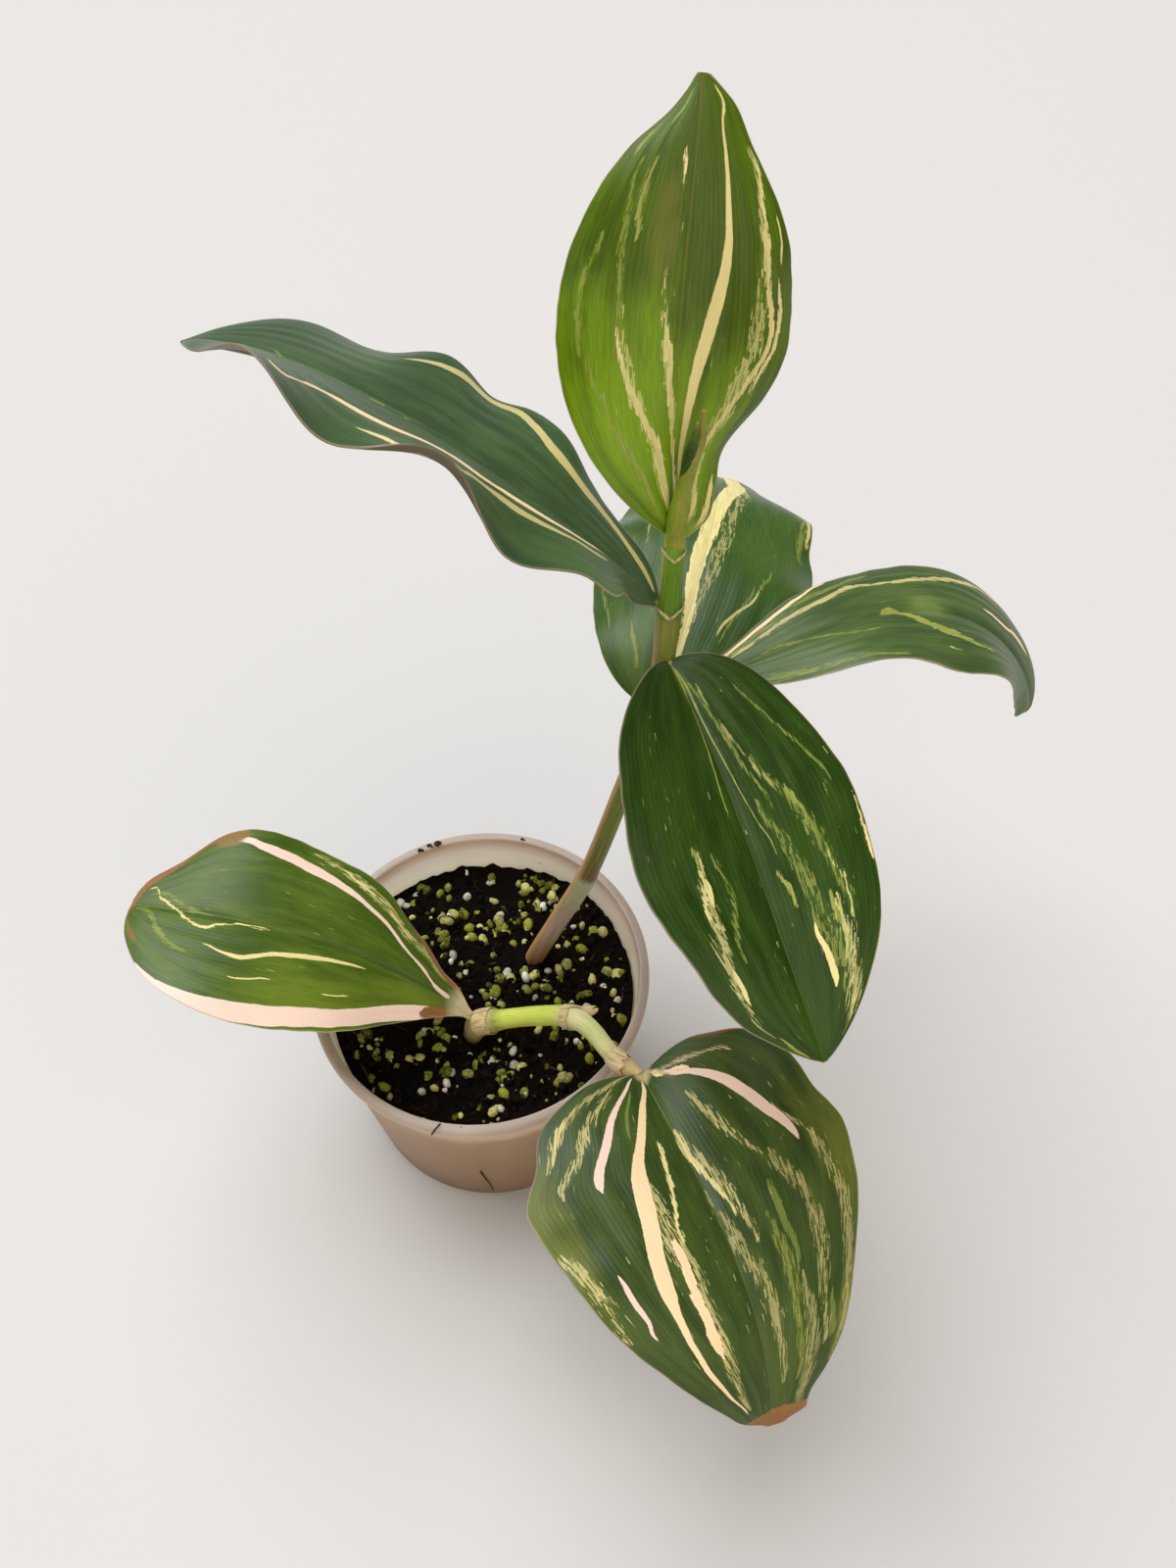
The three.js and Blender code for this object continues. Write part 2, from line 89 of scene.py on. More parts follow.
# A stripe is a tint, the kind of its edge, and places along it from the leaf's base to its
# tip. Each place is a part of the leaf's length, a share of the way from the midrib, at 0,
# to the left margin, at 1, or the right one, at -1, and the stripe's width there in mm.
# A patch is a tint, a place given the same way, and its reach in mm.
# A margin shift moves one margin, 1 for left or -1 for right, at a part of the length,
# outwards by so many mm, over a spread in mm. For side 0 it moves the midrib to the
# left, and for side 2 up.
# A curl rolls one margin up at a part of the length, by so many degrees, over a spread in
# mm, from a share of the way out. The rib is the midrib line's tint and its strength at the
# base and at the tip, and the foot is the pale base's reach in mm and its tint.
LEAVES = {
    "leaf_crown": Leaf(
        base=(48, 34.5, 185), length=85, width=48, base_power=0.9, tip_power=0.9,
        heading=(102, 81, 87), rise=(77, 59, 40), roll=(24, 14, 5),
        fold=-3, bend=30, clasp=55, lobe=0, waves=3.1, left=(0.6, 0.75), right=(1.2, 0.1),
        # The bright yellow-green tones paint the light that shines through this blade from behind.
        tone=(0x465C00, 0x5C7800, 0x7C9E00), under=0x86A83A,
        rib=(0x6E6420, 0.1, 0.7), foot=(5, 0x9AA83C),
        margin_shifts=(
            (1, 0.93, -2, 5), (-1, 0.03, 2.7, 4), (-1, 0.19, -3.2, 6), (-1, 0.45, 1.2, 9),
            (-1, 0.955, 1.7, 4), (1, 1, 0.8, 1.5), (-1, 1, 0.8, 1.5),
        ),
        stripes=(
            ("cream", "clean", (0.06, -0.2, 0.4), (0.18, -0.11, 0.8), (0.36, -0.15, 2.0),
             (0.51, -0.25, 2.7), (0.65, -0.35, 1.7), (0.77, -0.37, 0.9), (0.9, -0.44, 0.5),
             (0.97, -0.6, 0.3)),
            ("cream", "ragged", (0.06, -0.46, 0.8), (0.24, -0.5, 1.4), (0.36, -0.66, 1.6),
             (0.49, -0.78, 1.3), (0.62, -0.73, 1.3), (0.74, -0.75, 1.0), (0.87, -0.88, 0.4)),
            ("cream", "flecked", (0.04, -0.4, 1.2), (0.18, -0.44, 3.6), (0.34, -0.58, 6.4),
             (0.46, -0.66, 6.0), (0.6, -0.68, 3.0), (0.74, -0.72, 1.4), (0.86, -0.82, 0.8)),
            ("cream", "ragged", (0.34, -0.74, 0.6), (0.46, -0.84, 1.2), (0.55, -0.86, 1.0),
             (0.62, -0.84, 0.4)),
            ("cream", "clean", (0.65, -0.88, 0.4), (0.69, -0.9, 0.5), (0.73, -0.91, 0.4)),
            ("cream", "ragged", (0.08, -0.05, 0.4), (0.22, 0.0, 0.8), (0.37, 0.06, 1.6),
             (0.46, 0.09, 1.0), (0.5, 0.13, 0.4)),
            ("cream", "ragged", (0.07, 0.19, 0.8), (0.2, 0.19, 1.8), (0.31, 0.34, 1.4),
             (0.4, 0.44, 1.1), (0.47, 0.49, 0.4)),
            ("cream", "flecked", (0.06, 0.2, 1.6), (0.2, 0.24, 3.0), (0.32, 0.34, 3.6),
             (0.42, 0.42, 2.0), (0.52, 0.46, 1.0)),
            ("lime", "flecked", (0.46, 0.46, 1.6), (0.6, 0.52, 2.0), (0.72, 0.58, 1.4),
             (0.82, 0.66, 0.8)),
            ("lime", "flecked", (0.06, 0.5, 1.4), (0.16, 0.52, 2.6), (0.3, 0.62, 2.2),
             (0.42, 0.74, 1.0)),
            ("lime", "flecked", (0.42, 0.8, 1.0), (0.54, 0.82, 2.0), (0.66, 0.74, 1.2)),
            ("cream", "flecked", (0.2, 0.0, 0.8), (0.38, 0.07, 2.6), (0.52, 0.13, 1.4),
             (0.6, 0.15, 0.8)),
            ("lime", "ragged", (0.06, 0.56, 0.4), (0.15, 0.47, 0.9), (0.28, 0.6, 0.6),
             (0.34, 0.62, 0.3)),
            ("lime", "ragged", (0.66, 0.43, 0.6), (0.73, 0.48, 1.2), (0.82, 0.48, 0.3)),
            ("cream", "ragged", (0.77, 0.11, 0.3), (0.8, 0.11, 0.5), (0.84, 0.14, 0.2)),
            ("lime", "clean", (0.9, 0.55, 0.3), (0.93, 0.51, 0.5), (0.96, 0.5, 0.3)),
            ("lime", "ragged", (0.83, 0.82, 0.4), (0.86, 0.81, 0.5), (0.89, 0.79, 0.3)),
            ("cream", "ragged", (0.03, -0.8, 0.8), (0.08, -0.85, 1.2), (0.13, -0.84, 0.5)),
        ),
        # The light patches low on this blade paint more of that light shining through, and the dark patches
        # higher up, mostly on the right half, paint shade.
        patches=(
            ("tan", 0.74, 0.22, 5), ("tan", 0.66, 0.2, 6), ("light", 0.28, 0.4, 26),
            ("light", 0.2, -0.4, 18), ("dark", 0.8, -0.1, 22), ("dark", 0.62, -0.3, 16),
            ("dark", 0.62, 0.45, 9),
        ),
    ),
    "leaf_far_left": Leaf(
        base=(44.5, 24.5, 175), length=110, width=55, base_power=1, tip_power=0.5,
        heading=(204, 163, 172), rise=(64, 29, 3), roll=(-26, 18, 27),
        fold=11, bend=8, clasp=25, lobe=-0.1, waves=3.4, left=(3.7, 0.5), right=(2, 0.15),
        tone=(0x3A5032, 0x476238, 0x5A7438), under=0x6E5A4C,
        rib=(0x6F8040, 0.3, 0.1), foot=(2, 0xA9A062),
        margin_shifts=(
            (1, 0.22, 5, 4), (-1, 0.27, -1.3, 5), (-1, 0.42, 2.2, 6), (-1, 0.7, -2, 6),
            (0, 0.88, -3.2, 12), (1, 0.95, -4.5, 9), (-1, 0.97, -3, 6), (1, 0.51, -3.4, 8),
            (1, 0.42, -1.6, 4), (2, 1.0, -0.6, 2.5), (1, 0.985, -1, 2.5),
        ),
        stripes=(
            ("straw", "clean", (0.04, -0.56, 0.5), (0.11, -0.6, 1.4), (0.2, -0.7, 1.7),
             (0.31, -0.68, 2.2), (0.39, -0.79, 2.5), (0.46, -0.9, 2.2), (0.55, -0.88, 2.2),
             (0.61, -0.81, 1.7), (0.67, -0.79, 0.5)),
            ("peach", "clean", (0.05, 0.15, 0.4), (0.14, 0.02, 0.5), (0.28, 0.2, 0.7),
             (0.38, 0.25, 1.2), (0.47, 0.38, 1.7), (0.55, 0.45, 1.9), (0.66, 0.43, 1.6),
             (0.73, 0.58, 1.5), (0.77, 0.85, 1.0)),
            ("straw", "clean", (0.2, 0.23, 0.5), (0.29, 0.34, 1.0), (0.36, 0.38, 1.5),
             (0.42, 0.44, 1.9), (0.47, 0.54, 1.8), (0.5, 0.66, 1.4)),
            ("cream", "clean", (0.54, 0.93, 1.4), (0.57, 0.83, 1.8), (0.63, 0.69, 0.6)),
            ("lime", "flecked", (0.6, -0.02, 0.5), (0.72, -0.01, 0.9), (0.79, 0.1, 1.3),
             (0.87, -0.1, 0.5)),
        ),
        patches=(
            ("mid", 0.64, 0.66, 10), ("mid", 0.9, 0.0, 13), ("mid", 0.25, 0.8, 12),
            ("burn", 1.0, 0.0, 4.5),
        ),
        curls=((1, 0.52, 170, 8, 0.93),),
    ),
    "leaf_back": Leaf(
        base=(45.5, 20, 148), length=100, width=55, base_power=0.6, tip_power=0.6,
        heading=(69, 77, 86), rise=(23, -5, -41), roll=(-2, 1, 3),
        fold=-4, bend=25, clasp=25, lobe=0.2, waves=2.9, left=(2.2, -0.25), right=(2.2, 0.2),
        tone=(0x385520, 0x476322, 0x587422), under=0x7D8F5A,
        rib=(0x6F8040, 0.3, 0.1), foot=(2, 0xA9A062),
        margin_shifts=((-1, 0.6, -1.0, 4), (-1, 0.74, 1.8, 6), (-1, 0.86, -1.8, 4)),
        stripes=(
            ("cream", "ragged", (0.03, -0.2, 0.8), (0.13, -0.05, 1.4), (0.26, 0.0, 2.6),
             (0.4, 0.04, 3.6), (0.55, 0.0, 4.2), (0.7, -0.08, 4.4), (0.84, -0.22, 5.0),
             (0.97, -0.2, 5.0)),
            ("straw", "flecked", (0.2, -0.06, 1.6), (0.36, -0.1, 3.2), (0.5, -0.14, 4.6),
             (0.66, -0.2, 4.4), (0.8, -0.3, 3.0)),
            ("lime", "flecked", (0.2, -0.4, 0.6), (0.32, -0.48, 1.4), (0.44, -0.6, 0.8)),
            ("lime", "flecked", (0.56, -0.86, 2.0), (0.68, -0.9, 4.0), (0.8, -0.92, 3.0)),
            ("straw", "clean", (0.22, -0.35, 0.4), (0.28, -0.42, 0.8), (0.36, -0.55, 0.3)),
            ("straw", "ragged", (0.62, -0.95, 0.6), (0.68, -0.95, 1.2), (0.76, -0.95, 0.6)),
            ("lime", "ragged", (0.1, 0.52, 0.5), (0.15, 0.53, 0.9), (0.2, 0.56, 0.4)),
            ("lime", "flecked", (0.2, 0.82, 0.6), (0.28, 0.86, 1.4), (0.36, 0.9, 0.6)),
            ("lime", "ragged", (0.47, 0.54, 0.5), (0.54, 0.55, 0.6)),
        ),
        patches=(("mid", 0.5, -0.6, 16), ("light", 0.12, 0.6, 16), ("dark", 0.3, -0.35, 12)),
    ),
    "leaf_right": Leaf(
        base=(47.5, 19.5, 154), length=110, width=34, base_power=1.2, tip_power=0.8,
        heading=(4, 19, -43), rise=(19, -11, -73), roll=(-7, -3, -1),
        fold=6, bend=17, clasp=25, lobe=0, waves=2.5, left=(1, 0.5), right=(2, 0.25),
        tone=(0x40562A, 0x50662E, 0x6C8040), under=0x75875A,
        rib=(0x6F8040, 0.3, 0.1), foot=(2, 0xA9A062),
        margin_shifts=((-1, 0.985, 3.6, 1.8), (-1, 0.955, 1.4, 2.4)),
        stripes=(
            ("peach", "clean", (0.1, 0.78, 1.0), (0.21, 0.85, 1.0), (0.28, 0.86, 0.9),
             (0.34, 0.91, 0.8), (0.4, 0.98, 0.5)),
            ("straw", "ragged", (0.15, 0.51, 0.6), (0.25, 0.58, 1.0), (0.38, 0.6, 1.3),
             (0.44, 0.67, 1.3), (0.52, 0.6, 0.9), (0.58, 0.62, 1.3), (0.69, 0.76, 1.4),
             (0.79, 0.93, 0.8)),
            ("lime", "ragged", (0.47, 0.04, 0.9), (0.53, -0.18, 2.4), (0.58, -0.36, 2.2),
             (0.64, -0.46, 1.4), (0.72, -0.56, 0.5)),
            ("peach", "clean", (0.75, 0.39, 0.5), (0.8, 0.38, 1.0), (0.84, 0.5, 1.1),
             (0.89, 0.53, 0.4)),
            ("lime", "flecked", (0.2, 0.1, 0.6), (0.32, -0.12, 1.2), (0.43, -0.3, 0.6)),
            ("lime", "flecked", (0.14, -0.84, 1.2), (0.24, -0.82, 2.4), (0.33, -0.82, 2.0),
             (0.44, -0.92, 1.0)),
            ("lime", "flecked", (0.1, 0.6, 1.2), (0.24, 0.72, 2.4), (0.4, 0.8, 2.2),
             (0.5, 0.86, 1.0)),
            ("cream", "ragged", (0.58, -0.66, 0.3), (0.6, -0.68, 0.5), (0.63, -0.69, 0.3)),
        ),
        patches=(("light", 0.58, 0.1, 7), ("mid", 0.3, -0.5, 14), ("dark", 0.7, -0.2, 10)),
    ),
    "leaf_front": Leaf(
        base=(47, 18, 165), length=87, width=54, base_power=0.7, tip_power=0.8,
        heading=(-63, -72, -70), rise=(-19, -21, -26), roll=(-13, -13, 0),
        fold=12, bend=12, clasp=25, lobe=0.3, waves=2.9, left=(0.5, 0.1), right=(1, 0.25),
        tone=(0x223A02, 0x2F4A06, 0x54702A), under=0x6F8550,
        rib=(0x4F6428, 0.6, 0.15), foot=(1, 0xA9A062),
        margin_shifts=((-1, 0.72, -0.8, 5), (-1, 0.88, 0.7, 3)),
        stripes=(
            ("lime", "clean", (0.02, 0.05, 0.45), (0.14, -0.02, 0.45), (0.28, -0.07, 0.35),
             (0.4, -0.1, 0.25)),
            ("lime", "clean", (0.03, 0.1, 0.3), (0.16, 0.05, 0.35), (0.3, 0.07, 0.3),
             (0.43, 0.12, 0.25), (0.52, 0.18, 0.2)),
            ("lime", "flecked", (0.08, 0.14, 0.8), (0.18, 0.16, 1.4), (0.3, 0.2, 1.2),
             (0.42, 0.28, 0.8)),
            ("lime", "flecked", (0.14, 0.62, 0.6), (0.24, 0.68, 1.2), (0.33, 0.78, 1.2),
             (0.4, 0.84, 0.6)),
            ("lime", "ragged", (0.09, 0.22, 0.5), (0.11, 0.2, 0.8), (0.14, 0.19, 0.4)),
            ("straw", "flecked", (0.19, 0.2, 0.7), (0.26, 0.24, 1.4), (0.32, 0.29, 1.2),
             (0.4, 0.37, 0.6)),
            ("lime", "ragged", (0.39, 0.45, 0.7), (0.42, 0.48, 1.3), (0.46, 0.51, 0.8)),
            ("lime", "flecked", (0.3, 0.3, 1.4), (0.4, 0.42, 3.4), (0.5, 0.54, 4.6),
             (0.6, 0.62, 4.0), (0.7, 0.7, 3.0)),
            ("lime", "ragged", (0.57, 0.15, 0.6), (0.61, 0.2, 1.1), (0.65, 0.21, 0.6)),
            ("lime", "flecked", (0.4, 0.18, 1.2), (0.5, 0.28, 3.4), (0.6, 0.35, 4.4),
             (0.7, 0.45, 5.0), (0.8, 0.6, 4.0)),
            ("cream", "flecked", (0.56, 0.6, 0.8), (0.63, 0.68, 1.6), (0.68, 0.69, 1.4),
             (0.75, 0.73, 0.6)),
            ("lime", "flecked", (0.68, 0.34, 1.4), (0.74, 0.43, 2.8), (0.8, 0.5, 1.0)),
            ("cream", "clean", (0.71, 0.33, 0.6), (0.77, 0.4, 1.3), (0.81, 0.45, 1.5),
             (0.845, 0.49, 0.7)),
            ("lime", "ragged", (0.65, 0.53, 0.9), (0.72, 0.58, 1.4), (0.78, 0.65, 1.2)),
            ("cream", "flecked", (0.66, 0.58, 1.6), (0.76, 0.66, 4.0), (0.84, 0.74, 4.6),
             (0.92, 0.84, 2.4)),
            ("lime", "ragged", (0.48, -0.51, 0.6), (0.52, -0.5, 1.0), (0.54, -0.5, 0.4)),
            ("cream", "ragged", (0.54, -0.51, 0.4), (0.58, -0.55, 0.9), (0.63, -0.6, 0.5)),
            ("cream", "clean", (0.555, -0.49, 0.8), (0.58, -0.5, 1.3), (0.605, -0.52, 0.6)),
            ("cream", "flecked", (0.47, -0.48, 1.0), (0.56, -0.53, 2.8), (0.67, -0.6, 4.4),
             (0.76, -0.7, 2.6), (0.84, -0.76, 1.5), (0.91, -0.82, 0.5)),
            ("lime", "flecked", (0.5, -0.37, 0.7), (0.58, -0.32, 1.6), (0.65, -0.39, 2.0),
             (0.74, -0.49, 0.8)),
            ("cream", "clean", (0.755, -0.66, 0.6), (0.79, -0.66, 1.1), (0.825, -0.7, 0.5)),
            ("cream", "ragged", (0.45, 0.97, 0.4), (0.52, 0.97, 0.8), (0.59, 0.98, 0.5)),
            ("lime", "flecked", (0.84, 0.6, 1.4), (0.9, 0.82, 1.8), (0.95, 0.86, 0.8)),
            ("lime", "ragged", (0.93, -0.75, 0.4), (0.95, -0.79, 0.7), (0.97, -0.82, 0.4)),
        ),
        patches=(
            ("mid", 0.38, -0.62, 14), ("mid", 0.95, 0.0, 16), ("light", 0.03, 0.02, 7),
            ("mid", 0.55, 0.45, 12),
        ),
    ),
    "leaf_low_left": Leaf(
        base=(-2.5, -12.5, 64), length=92, width=54, base_power=1.1, tip_power=0.6,
        heading=(159, 173, 170), rise=(47, 26, -5), roll=(2, 2, 4),
        fold=9, bend=14, clasp=25, lobe=0, waves=2.6, left=(0.7, 0.15), right=(1, 0.3),
        tone=(0x425A14, 0x566C1A, 0x6A7E20), under=0x8A9C5C,
        rib=(0x5E7A2C, 0.3, 0.1), foot=(9, 0xD8CDA4),
        margin_shifts=(
            (-1, 0.14, -2, 5), (-1, 0.26, -2.2, 7), (-1, 0.5, -0.9, 15), (-1, 0.91, -3, 6),
            (-1, 1, 1.8, 3), (1, 0.4, 1, 9), (1, 1, 1.2, 3),
        ),
        stripes=(
            ("pink", "clean", (0.06, 0.72, 0.8), (0.12, 0.8, 3.0), (0.19, 0.79, 4.4),
             (0.38, 0.84, 4.5), (0.55, 0.88, 5.0), (0.69, 0.92, 4.6), (0.8, 0.97, 3.4),
             (0.86, 0.98, 2.0), (0.91, 0.99, 1.0)),
            ("pink", "clean", (0.1, -0.16, 1.2), (0.19, -0.35, 0.9), (0.26, -0.47, 1.0),
             (0.33, -0.57, 1.1), (0.38, -0.6, 1.3), (0.44, -0.66, 1.7), (0.51, -0.71, 2.4),
             (0.57, -0.73, 3.0), (0.63, -0.76, 3.0), (0.7, -0.8, 2.4), (0.76, -0.86, 1.4)),
            ("cream", "ragged", (0.24, -0.77, 0.5), (0.29, -0.75, 1.2), (0.33, -0.76, 0.5)),
            ("cream", "ragged", (0.39, -0.81, 0.4), (0.43, -0.82, 0.9), (0.48, -0.88, 0.4)),
            ("cream", "flecked", (0.12, -0.76, 1.6), (0.24, -0.76, 4.0), (0.36, -0.8, 4.4),
             (0.46, -0.86, 3.2), (0.56, -0.92, 1.6)),
            ("cream", "clean", (0.36, 0.18, 0.3), (0.45, 0.2, 1.0), (0.54, 0.25, 1.4),
             (0.6, 0.29, 1.3), (0.65, 0.36, 1.3), (0.69, 0.4, 1.1), (0.73, 0.39, 0.6),
             (0.77, 0.36, 0.3)),
            ("cream", "ragged", (0.63, 0.04, 0.5), (0.65, 0.04, 0.9), (0.69, 0.05, 0.3),
             (0.76, 0.11, 0.7), (0.79, 0.17, 0.8), (0.83, 0.13, 0.8), (0.87, 0.01, 0.9),
             (0.93, -0.22, 0.8), (0.96, -0.5, 0.3)),
            ("lime", "flecked", (0.82, 0.5, 1.0), (0.9, 0.36, 2.8), (0.97, 0.1, 1.4)),
            ("lime", "flecked", (0.78, 0.0, 0.8), (0.86, -0.06, 2.2), (0.94, -0.3, 1.4)),
            ("cream", "clean", (0.6, 0.55, 0.3), (0.64, 0.58, 0.4), (0.69, 0.61, 0.3)),
            ("cream", "clean", (0.39, 0.58, 0.3), (0.42, 0.59, 0.4), (0.45, 0.6, 0.3)),
            ("burn", "ragged", (0.77, -1.0, 1.6), (0.81, -1.0, 5.0), (0.85, -1.0, 2.6),
             (0.9, -1.0, 4.0), (0.94, -1.0, 7.0), (0.975, -0.95, 7.4), (0.99, -0.7, 6.0),
             (1.0, 0.2, 3.0)),
            ("burn", "ragged", (0.05, -0.95, 1.2), (0.1, -1.0, 3.6), (0.17, -1.0, 3.4),
             (0.25, -1.0, 1.0)),
            ("burn", "ragged", (0.09, 0.8, 2.4), (0.125, 0.82, 4.2), (0.15, 0.8, 3.4)),
            ("tan", "ragged", (0.02, 0.6, 2.0), (0.06, 0.7, 3.4), (0.1, 0.8, 3.0)),
        ),
        patches=(
            ("rust", 0.79, -0.92, 4.2), ("rust", 0.97, 0.75, 3),
            ("light", 0.5, 0.75, 20), ("light", 0.2, 0.4, 12),
        ),
    ),
    "leaf_low_front": Leaf(
        base=(41, -39.5, 86), length=81, width=75, base_power=0.45, tip_power=0.8,
        heading=(-68, -68, -90), rise=(6, -9, -51), roll=(7, -13, -21),
        fold=8, bend=17, clasp=25, lobe=0.2, waves=2.5, left=(1.2, 0.1), right=(1.3, 0.1),
        tone=(0x344718, 0x46591E, 0x687028), under=0x7C8A58,
        rib=(0x6F7A3C, 0.5, 0.2), foot=(3, 0xC9B98A),
        margin_shifts=(
            (1, 0.045, -1.9, 1.8), (1, 0.26, -0.9, 4), (1, 0.37, 1.1, 4), (1, 0.985, 4.2, 3),
            (-1, 0.05, -2.4, 4), (-1, 0.18, -1.9, 4), (-1, 0.28, 1.1, 4), (-1, 0.97, 1.6, 3),
            (1, 0.993, -1.2, 0.7), (1, 0.978, 0.6, 0.6), (-1, 0.99, -0.9, 0.8),
        ),
        stripes=(
            ("peach", "clean", (0.03, -0.08, 0.5), (0.1, -0.14, 1.6), (0.24, -0.29, 2.8),
             (0.32, -0.35, 3.9), (0.41, -0.41, 4.0), (0.5, -0.49, 3.8), (0.58, -0.54, 3.4),
             (0.64, -0.57, 1.8), (0.72, -0.61, 1.4), (0.81, -0.65, 1.3), (0.87, -0.65, 0.8),
             (0.93, -0.6, 0.3)),
            ("pink", "clean", (0.02, -0.3, 0.6), (0.08, -0.36, 1.4), (0.15, -0.45, 2.1),
             (0.2, -0.51, 2.5), (0.25, -0.55, 2.4), (0.29, -0.56, 0.8)),
            ("pink", "clean", (0.05, 0.3, 1.2), (0.09, 0.4, 2.1), (0.14, 0.49, 2.8),
             (0.2, 0.55, 3.1), (0.26, 0.61, 3.3), (0.31, 0.65, 2.6), (0.36, 0.66, 0.9)),
            ("cream", "flecked", (0.28, 0.68, 0.9), (0.34, 0.73, 2.0), (0.39, 0.76, 0.7)),
            ("cream", "flecked", (0.32, -0.3, 1.6), (0.4, -0.32, 5.0), (0.48, -0.34, 6.4),
             (0.56, -0.34, 3.0)),
            ("peach", "ragged", (0.48, -0.34, 1.6), (0.54, -0.35, 2.5), (0.6, -0.38, 2.2),
             (0.66, -0.39, 2.2), (0.72, -0.42, 2.6), (0.765, -0.44, 0.9)),
            ("cream", "flecked", (0.5, -0.3, 2.4), (0.62, -0.33, 4.4), (0.74, -0.39, 4.6),
             (0.84, -0.46, 3.4), (0.92, -0.51, 1.2)),
            ("cream", "ragged", (0.22, -0.13, 0.6), (0.3, -0.16, 1.1), (0.39, -0.22, 0.9),
             (0.48, -0.29, 0.5)),
            ("cream", "ragged", (0.2, 0.01, 0.8), (0.25, 0.01, 2.1), (0.3, 0.03, 1.4),
             (0.37, 0.06, 0.9), (0.46, 0.11, 0.5)),
            ("cream", "flecked", (0.2, 0.02, 1.6), (0.32, 0.08, 4.2), (0.44, 0.14, 3.6),
             (0.54, 0.18, 1.4)),
            ("straw", "flecked", (0.38, 0.0, 1.4), (0.5, 0.04, 3.8), (0.6, 0.1, 5.0),
             (0.7, 0.16, 4.6), (0.8, 0.2, 3.0), (0.88, 0.22, 1.2)),
            ("pink", "clean", (0.51, -0.75, 0.6), (0.58, -0.76, 1.3), (0.62, -0.76, 1.0),
             (0.67, -0.8, 0.6)),
            ("cream", "ragged", (0.1, -0.83, 0.8), (0.14, -0.85, 1.5), (0.19, -0.88, 0.5)),
            ("cream", "flecked", (0.05, -0.52, 1.4), (0.12, -0.6, 4.4), (0.2, -0.7, 4.2),
             (0.27, -0.78, 1.6)),
            ("cream", "flecked", (0.01, -0.56, 1.4), (0.06, -0.72, 4.0), (0.13, -0.84, 4.0),
             (0.2, -0.9, 1.6)),
            ("cream", "flecked", (0.41, -0.95, 2.4), (0.5, -0.92, 5.0), (0.58, -0.93, 3.4),
             (0.66, -0.97, 1.4)),
            ("olive", "clean", (0.06, -0.26, 0.5), (0.12, -0.29, 0.9), (0.18, -0.32, 0.5)),
            ("olive", "ragged", (0.43, 0.38, 0.8), (0.52, 0.39, 2.0), (0.62, 0.44, 1.2)),
            ("straw", "flecked", (0.36, 0.76, 1.6), (0.48, 0.84, 5.0), (0.6, 0.9, 5.0),
             (0.72, 0.94, 4.0), (0.86, 0.96, 1.6)),
            ("olive", "ragged", (0.73, 0.75, 1.2), (0.77, 0.78, 1.8), (0.81, 0.81, 1.2)),
            ("olive", "ragged", (0.64, 0.34, 0.8), (0.7, 0.37, 1.2), (0.76, 0.4, 0.6)),
            ("straw", "flecked", (0.66, 0.46, 1.4), (0.78, 0.54, 4.6), (0.88, 0.62, 4.0),
             (0.96, 0.7, 1.6)),
            ("straw", "flecked", (0.36, 0.46, 2.0), (0.46, 0.56, 5.0), (0.58, 0.64, 5.0),
             (0.72, 0.66, 4.0), (0.82, 0.74, 2.0)),
            ("lime", "flecked", (0.5, 0.3, 1.6), (0.62, 0.36, 4.4), (0.76, 0.4, 4.0),
             (0.88, 0.46, 1.6)),
            ("peach", "ragged", (0.02, 0.2, 1.2), (0.045, 0.26, 2.4), (0.075, 0.4, 1.2)),
            ("peach", "flecked", (0.015, 0.2, 2.6), (0.04, 0.42, 5.0), (0.07, 0.62, 3.6),
             (0.1, 0.74, 1.2)),
            ("cream", "flecked", (0.13, 0.24, 1.4), (0.22, 0.28, 3.6), (0.32, 0.36, 2.4),
             (0.4, 0.42, 1.0)),
            ("rust", "ragged", (0.95, 0.3, 1.0), (0.968, 0.3, 12.0), (1.0, 0.0, 20.0)),
            ("burn", "ragged", (0.97, 0.1, 1.0), (0.983, 0.1, 12.0), (1.0, 0.0, 20.0)),
        ),
        patches=(
            ("light", 0.3, -0.98, 11), ("light", 0.42, -0.95, 10), ("mid", 0.85, 0.2, 18),
            ("light", 0.4, 0.95, 14), ("mid", 0.62, -0.9, 10), ("light", 0.75, 0.95, 8),
            ("burn", 0.05, 0.97, 2.2),
            ("tan", 0.045, 0.26, 2.6),
        ),
    ),
}

# Canes: the points that the centre line passes through, in mm, and the radius at parts of
# its length. Steps are the edges of papery leaf sheaths, and bulges are the nodes.
TALL_LINE = (
    (7, 9, 30), (13.5, 10, 53), (20.5, 11, 71), (29, 12, 93), (37, 14.5, 122),
    (42, 17, 141), (46, 20.5, 162), (47, 25, 173), (48.1, 31.5, 186),
)
TALL_RADII = (
    (0, 2.5), (0.1, 2.6), (0.37, 2.6), (0.395, 2.9), (0.415, 2.4), (0.6, 2.3), (0.72, 2.2),
    (0.76, 2.7), (0.8, 2.5), (0.83, 2.3), (0.89, 2.6), (0.925, 2.9), (0.935, 2.5), (0.97, 2.3),
    (0.985, 2.4), (1, 1.9),
)
SHORT_LINE = (
    (-7, -9, 34), (-2.5, -12.5, 53), (0, -13, 61), (5, -14, 64.5), (15, -16.5, 71.5),
    (24.5, -20, 77.5), (29, -25, 81), (35, -34.5, 84.5), (40.4, -39.2, 86),
)
SHORT_RADII = (
    (0, 2.2), (0.2, 2.4), (0.28, 2.9), (0.33, 3.3), (0.37, 3.3), (0.4, 2.9), (0.43, 2.6),
    (0.5, 2.5), (0.64, 2.6), (0.69, 2.9), (0.74, 2.5), (0.88, 2.1), (0.93, 2.4), (0.965, 1.9),
    (1, 1.1),
)

